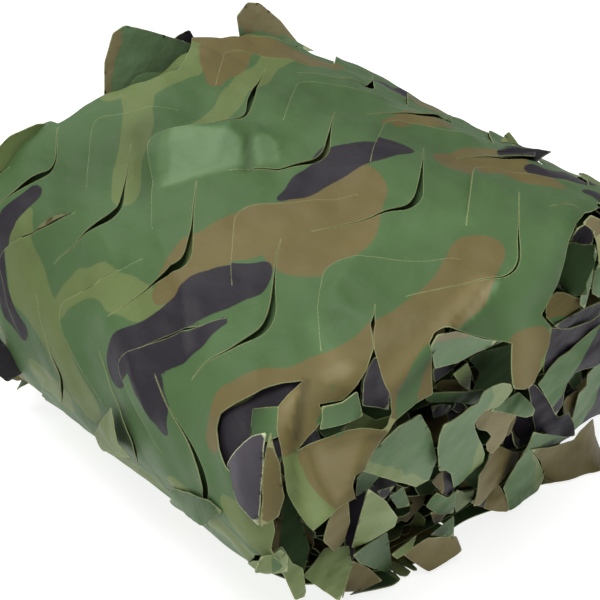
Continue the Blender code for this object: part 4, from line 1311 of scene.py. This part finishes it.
def make_leaves(name, table, end, materials, seed):
    made = [leaf_grid(leaf, end, seed + 10 * number, LEAF_LONG, LEAF_WIDE, LEAF_TONE)
            for number, leaf in enumerate(rows_of(LEAF_COLUMNS, table))]
    return join_leaves(name, made, materials)


# The small leaves: a turn's share of the section, and how many it has
FILL_TURNS = ((0.90, 26), (0.80, 24), (0.70, 21), (0.59, 18), (0.48, 14), (0.36, 10), (0.23, 7), (0.1, 4))
DETAILED_Y = 80               # most outline leaves of the near end lie below this y
DEEP_REACH, OPEN_REACH = 20, 44       # how far out a small leaf may stand among them, and elsewhere
# Painted shade: small leaves among the near end's outline leaves are darker
DEEP_TONE, OPEN_TONE = 0.85, 1.0
LEAF_COVER = 0.93             # the share of the outer turn's section that they keep to at the near end
FILL_STRAY = 0.3              # in spaces between leaves
FILL_ROOT = (14, 22)          # how deep behind its turn's edge a small leaf starts
FILL_LENGTH, FILL_WIDTH, FILL_TIP = (26, 48), (20, 34), (4, 14)
FILL_FALL, FILL_OUT, FILL_DRIFT = (0.1, 1.0), (0.45, 1.0), 0.45
FALL_SHARE, FALL_COST = 0.8, 0.35     # the share of its length that a full fall drops it, and costs it
FILL_BOW, FILL_TURN, FILL_SWEEP = (2, 7), (-40, 40), (-5, 5)
FILL_LOWEST, FILL_RISE = 6.0, (-4, 6)
FILL_ENDS = ("point", "round", "point")
PRINT_PLACES = ((50, -60), (40, -130), (60, -110), (140, -80), (84, -222), (-40, -226), (104, -128),
                (-60, 20), (60, 140), (120, 186), (170, -80), (30, 200), (-50, -60), (126, -160))


def make_fill(name, end, materials, seed):
    """The many small leaves between the larger ones at one end."""
    random = np.random.default_rng(seed)
    made = []
    for share, count in FILL_TURNS:
        for number in range(count):
            around = ((number + random.uniform(-FILL_STRAY, FILL_STRAY)) / count - 0.5) * PERIMETER
            place = roll_points(np.array([0.0]), np.array([around]), share, np.array([0.0]))[0]
            root_x = end_x(end, place, around, share) / MM - end * random.uniform(*FILL_ROOT)
            root_y, root_z = place[1:] / MM
            deep = end > 0 and root_y < DETAILED_Y
            length = random.uniform(*FILL_LENGTH)
            fall = random.uniform(*FILL_FALL)
            drift = random.normal(0, FILL_DRIFT)
            reach_out = random.uniform(*FILL_OUT) * length * (1 - FALL_COST * fall)
            tip = (root_x + end * min(reach_out, DEEP_REACH if deep else OPEN_REACH),
                   root_y + drift * length * 0.5,
                   max(FILL_LOWEST, root_z - length * fall * FALL_SHARE + random.uniform(*FILL_RISE)))
            spot = PRINT_PLACES[random.integers(len(PRINT_PLACES))]
            width = random.uniform(*FILL_WIDTH)
            leaf = dict(zip(LEAF_COLUMNS, (
                root_x, root_y, root_z, *tip, width * 0.9, width, random.uniform(*FILL_TIP),
                random.uniform(*FILL_BOW), random.uniform(*FILL_TURN), random.uniform(*FILL_SWEEP),
                *spot, random.uniform(0, 360), FILL_ENDS[random.integers(3)])))
            points, *rest = leaf_grid(leaf, end, seed + len(made), SMALL_LONG, SMALL_WIDE,
                                      DEEP_TONE if deep else OPEN_TONE)
            made.append([under_cover(points, LEAF_COVER) if end > 0 else points] + rest)
    return join_leaves(name, made, materials)


# ---------------------------------------------------------------- materials

GREEN = (0.063, 0.118, 0.043, 1.0)
PRINT_COLOUR = {"olive": (0.118, 0.158, 0.052, 1.0), "brown": (0.126, 0.102, 0.037, 1.0),
                "black": (0.021, 0.018, 0.023, 1.0)}
EDGE = (0.300, 0.330, 0.150, 1.0)
EDGE_SHADE = (0.14, 0.18, 0.08, 1.0)
FLOOR_GREY = (0.5, 0.5, 0.5, 1.0)
WHITE = (1.0, 1.0, 1.0, 1.0)
PRINT_EDGE = 0.35             # half width of a printed edge, in millimetres
CUT_LINE, CUT_SOFT = 0.30, 0.25       # how far the pale coating shows at a cut, and its softness
CUT_STRENGTH = 0.6
RAGGED = 0.9                  # the range that printed edges and pale lines stray over, in millimetres
SHEEN_PALE_FROM, SHEEN_PALE_TO, SHEEN_PALE_COLOUR = 1.15, 1.75, 0.80    # painted highlights: tones that lose colour, down to this share, as sheen would
THREAD_WAVES = 900.0          # the weave's waves, in radians per unit of the cloth map
CREASE_DEPTH, THREAD_DEPTH = 0.0035, 0.00012


def feed(tree, node, inputs):
    """Gives each input its value, or the output that it follows. The node's outputs come back."""
    for name, value in dict(inputs).items():
        if isinstance(value, bpy.types.NodeSocket):
            tree.links.new(value, node.inputs[name])
        else:
            node.inputs[name].default_value = value
    return node.outputs


def add_node(tree, kind, inputs=(), **settings):
    node = tree.nodes.new("ShaderNode" + kind)
    for name, value in settings.items():
        setattr(node, name, value)
    return feed(tree, node, inputs)


def calc(tree, operation, *values):
    return add_node(tree, "Math", enumerate(values), operation=operation)[0]


def field(tree, name):
    return add_node(tree, "Attribute", attribute_name=name)["Fac"]


def noise(tree, **inputs):
    """Noise through the roll's own space, so that it needs no map."""
    place = add_node(tree, "TexCoord")["Object"]
    return add_node(tree, "TexNoise", dict(inputs, Vector=place))["Fac"]


def ramp(tree, value, start, stop, low=0.0, high=1.0):
    """A share that runs from low to high while a value runs from start to stop."""
    return add_node(tree, "MapRange", {"Value": value, "From Min": start, "From Max": stop,
                                       "To Min": low, "To Max": high})["Result"]


def blend(tree, share, lower, upper):
    return add_node(tree, "Mix", {"Factor": share, "A": lower, "B": upper}, data_type="RGBA")["Result"]


def new_group(name, inputs, outputs):
    """An empty node group with named inputs and outputs, and the inputs as seen from inside it."""
    tree = bpy.data.node_groups.new(name, "ShaderNodeTree")
    for way, sockets in (("INPUT", inputs), ("OUTPUT", outputs)):
        for title, kind in sockets.items():
            tree.interface.new_socket(title, in_out=way, socket_type=kind)
    return tree, tree.nodes.new("NodeGroupInput").outputs


def finish_group(tree, outputs):
    feed(tree, tree.nodes.new("NodeGroupOutput"), outputs)
    return tree


def woodland_group():
    """Printed cloth colour: blotches from the print fields, mottled a little, with light and shade painted in
    by the tone.
    """
    tree, given = new_group("woodland_print", {"Ground": "NodeSocketColor", "Mottle": "NodeSocketFloat"},
                            {"Colour": "NodeSocketColor"})
    stray = calc(tree, "SUBTRACT", noise(tree, Scale=900.0, Detail=2.0), 0.5)
    jitter = calc(tree, "MULTIPLY", stray, RAGGED)
    colour = given["Ground"]
    for name in PRINT_COLOURS:
        inside = calc(tree, "ADD", field(tree, name), jitter)
        colour = blend(tree, ramp(tree, inside, -PRINT_EDGE, PRINT_EDGE), colour, PRINT_COLOUR[name])
    inside = calc(tree, "ADD", field(tree, "cut"), jitter)
    bare = ramp(tree, inside, CUT_LINE + CUT_SOFT, CUT_LINE - CUT_SOFT)
    colour = blend(tree, calc(tree, "MULTIPLY", bare, CUT_STRENGTH), colour, EDGE)
    patches = calc(tree, "SUBTRACT", noise(tree, Scale=22.0, Detail=4.0), 0.5)
    swing = calc(tree, "ADD", calc(tree, "MULTIPLY", patches, given["Mottle"]), 1.0)
    # The tone paints in light and shade; where it paints the brightest highlights the colour pales, as sheen
    # would
    tone = field(tree, "tone")
    sheen_pale = ramp(tree, tone, SHEEN_PALE_FROM, SHEEN_PALE_TO, 1.0, SHEEN_PALE_COLOUR)
    light = add_node(tree, "HueSaturation", {"Value": calc(tree, "MULTIPLY", swing, tone),
                                             "Saturation": sheen_pale, "Color": colour})
    return finish_group(tree, {"Colour": light["Color"]})


def weave_group():
    """Height of a fine plain weave on the cloth map, and of soft handling creases."""
    tree, given = new_group("coated_weave", {"Threads": "NodeSocketFloat"},
                            {"Height": "NodeSocketFloat", "Crumple": "NodeSocketFloat"})
    parts = add_node(tree, "SeparateXYZ", {"Vector": add_node(tree, "UVMap", uv_map="cloth")["UV"]})
    waves = [calc(tree, "SINE", calc(tree, "MULTIPLY", parts[axis], given["Threads"])) for axis in "XY"]
    return finish_group(tree, {"Height": calc(tree, "MULTIPLY", *waves),
                               "Crumple": noise(tree, Scale=55.0, Detail=3.0, Roughness=0.45)})


def new_material(name, inputs):
    """A material whose shader is given some inputs, and its tree and shader."""
    material = bpy.data.materials.new(name)
    material.use_nodes = True
    tree, shader = material.node_tree, material.node_tree.nodes["Principled BSDF"]
    feed(tree, shader, inputs)
    return material, tree, shader


def cloth_material(name, print_tree, weave_tree, mottle=0.30, roughness=0.52, gloss=0.2):
    material, tree, shader = new_material(name, {"Specular IOR Level": gloss})
    colours = add_node(tree, "Group", {"Ground": GREEN, "Mottle": mottle}, node_tree=print_tree)
    weave = add_node(tree, "Group", {"Threads": THREAD_WAVES}, node_tree=weave_tree)
    rough = ramp(tree, weave["Crumple"], 0.0, 1.0, roughness - 0.10, roughness + 0.12)
    soft = add_node(tree, "Bump", {"Strength": 0.55, "Distance": CREASE_DEPTH, "Height": weave["Crumple"]})
    threads = add_node(tree, "Bump", {"Strength": 0.25, "Distance": THREAD_DEPTH,
                                      "Height": weave["Height"], "Normal": soft["Normal"]})
    feed(tree, shader, {"Base Color": colours["Colour"], "Roughness": rough, "Normal": threads["Normal"]})
    return material


def edge_material():
    """The pale frayed cut through the coated cloth."""
    material, tree, shader = new_material("cut_edge", {"Roughness": 0.8})
    frayed = blend(tree, noise(tree, Scale=500.0), EDGE_SHADE, EDGE)
    # The cut edge takes its sheet's painted light and shade from the tone
    light = calc(tree, "MINIMUM", field(tree, "tone"), 1.1)
    shaded = add_node(tree, "HueSaturation", {"Value": light, "Color": frayed})
    feed(tree, shader, {"Base Color": shaded["Color"]})
    return material


# ---------------------------------------------------------------- the stage

CAMERA_BEARING = 48.0         # degrees round from -Y towards +X
CAMERA_HEIGHT_ANGLE = 27.5
CAMERA_DISTANCE = 1.055
CAMERA_LENS = 83.7
CAMERA_AIM = (0.019, 0.0394, 0.065)   # right, up and base height of the point looked at
FLOOR_HALF = 6.0
FLOOR_SINK = 0.0005
STUDIO_LIGHT = 0.36
# Lights: name, place, the point looked at, side and power
LIGHTS = (("key", (0.35, -0.75, 1.9), (0.04, 0.0, 0.1), 1.0, 31.0),
          ("gloss", (-1.3, -0.3, 1.7), (0.0, 0.0, 0.1), 1.2, 12.0))


def put_in(name, data, place, way=None):
    """Puts something in the scene at a place, looking along way."""
    placed = bpy.data.objects.new(name, data)
    placed.location = place
    if way is not None:
        placed.rotation_mode = "QUATERNION"
        placed.rotation_quaternion = way.to_track_quat("-Z", "Y")
    bpy.context.scene.collection.objects.link(placed)
    return placed


def make_camera():
    bearing, tilt = math.radians(CAMERA_BEARING), math.radians(CAMERA_HEIGHT_ANGLE)
    back = Vector((math.sin(bearing) * math.cos(tilt), -math.cos(bearing) * math.cos(tilt), math.sin(tilt)))
    right = Vector((math.cos(bearing), math.sin(bearing), 0.0))
    up = back.cross(right)
    target = right * CAMERA_AIM[0] + up * CAMERA_AIM[1] + Vector((0.0, 0.0, CAMERA_AIM[2]))
    data = bpy.data.cameras.new("camera")
    data.sensor_width = 36.0
    data.lens = CAMERA_LENS
    data.clip_start = 0.01
    bpy.context.scene.camera = put_in("camera", data, target + back * CAMERA_DISTANCE, -back)


def make_lights():
    for name, place, target, size, power in LIGHTS:
        data = bpy.data.lights.new(name, "AREA")
        data.shape = "SQUARE"
        data.size = size
        data.energy = power
        put_in(name, data, place, Vector(target) - Vector(place))
    world = bpy.data.worlds.new("studio")
    world.use_nodes = True
    feed(world.node_tree, world.node_tree.nodes["Background"], {"Color": WHITE, "Strength": STUDIO_LIGHT})
    bpy.context.scene.world = world
    bpy.context.scene.view_settings.view_transform = "Standard"


def make_floor():
    mesh = bpy.data.meshes.new("floor")
    corners = [(x * FLOOR_HALF, y * FLOOR_HALF, 0) for x, y in ((-1, -1), (1, -1), (1, 1), (-1, 1))]
    mesh.from_pydata(corners, [], [(0, 1, 2, 3)])
    material, _, _ = new_material("pale_floor", {"Base Color": FLOOR_GREY, "Roughness": 0.95,
                                                 "Emission Color": WHITE, "Emission Strength": 0.8})
    mesh.materials.append(material)
    floor = put_in("floor", mesh, (0.0, 0.0, -FLOOR_SINK))


# ---------------------------------------------------------------- everything together


def declare(piece):
    """How a sheet is held: on the root body."""
    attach(piece, "root")


def main():
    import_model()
    make_camera()
    make_floor()
    make_lights()
    groups = woodland_group(), weave_group()
    edge = edge_material()
    outer_cloth = (cloth_material("woodland_cloth", *groups), edge)
    inner_cloth = (cloth_material("inner_cloth", *groups, mottle=0.4, roughness=0.56), edge)
    deep_cloth = (cloth_material("deep_cloth", *groups, roughness=0.8, gloss=0.03), edge)
    outer, outer_area = make_outer_turn(outer_cloth)
    under, under_area = make_under_turn(inner_cloth)
    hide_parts(CLOTH_NODE)
    declare(outer)
    declare(under)
    for piece, area in (
        make_bands("near_turns", 1, inner_cloth, 60),
        make_bands("far_turns", -1, inner_cloth, 80),
        make_core("near_core", 1, inner_cloth),
        make_core("far_core", -1, inner_cloth),
    ):
        declare(piece)
    for piece, area in (
        make_outline_leaves("end", outer_cloth, 100),
        make_outline_leaves("deep", deep_cloth, 100),
        make_outline_leaves("turn", outer_cloth, 1100),
        make_outline_leaves("far", outer_cloth, 1300),
        make_leaves("far_leaves", FAR_LEAVES, -1, outer_cloth, 500),
        make_leaves("side_tabs", SIDE_TABS, 0, outer_cloth, 900),
        make_fill("near_small_leaves", 1, inner_cloth, 2000),
        make_fill("far_small_leaves", -1, inner_cloth, 3000),
    ):
        declare(piece)


main()
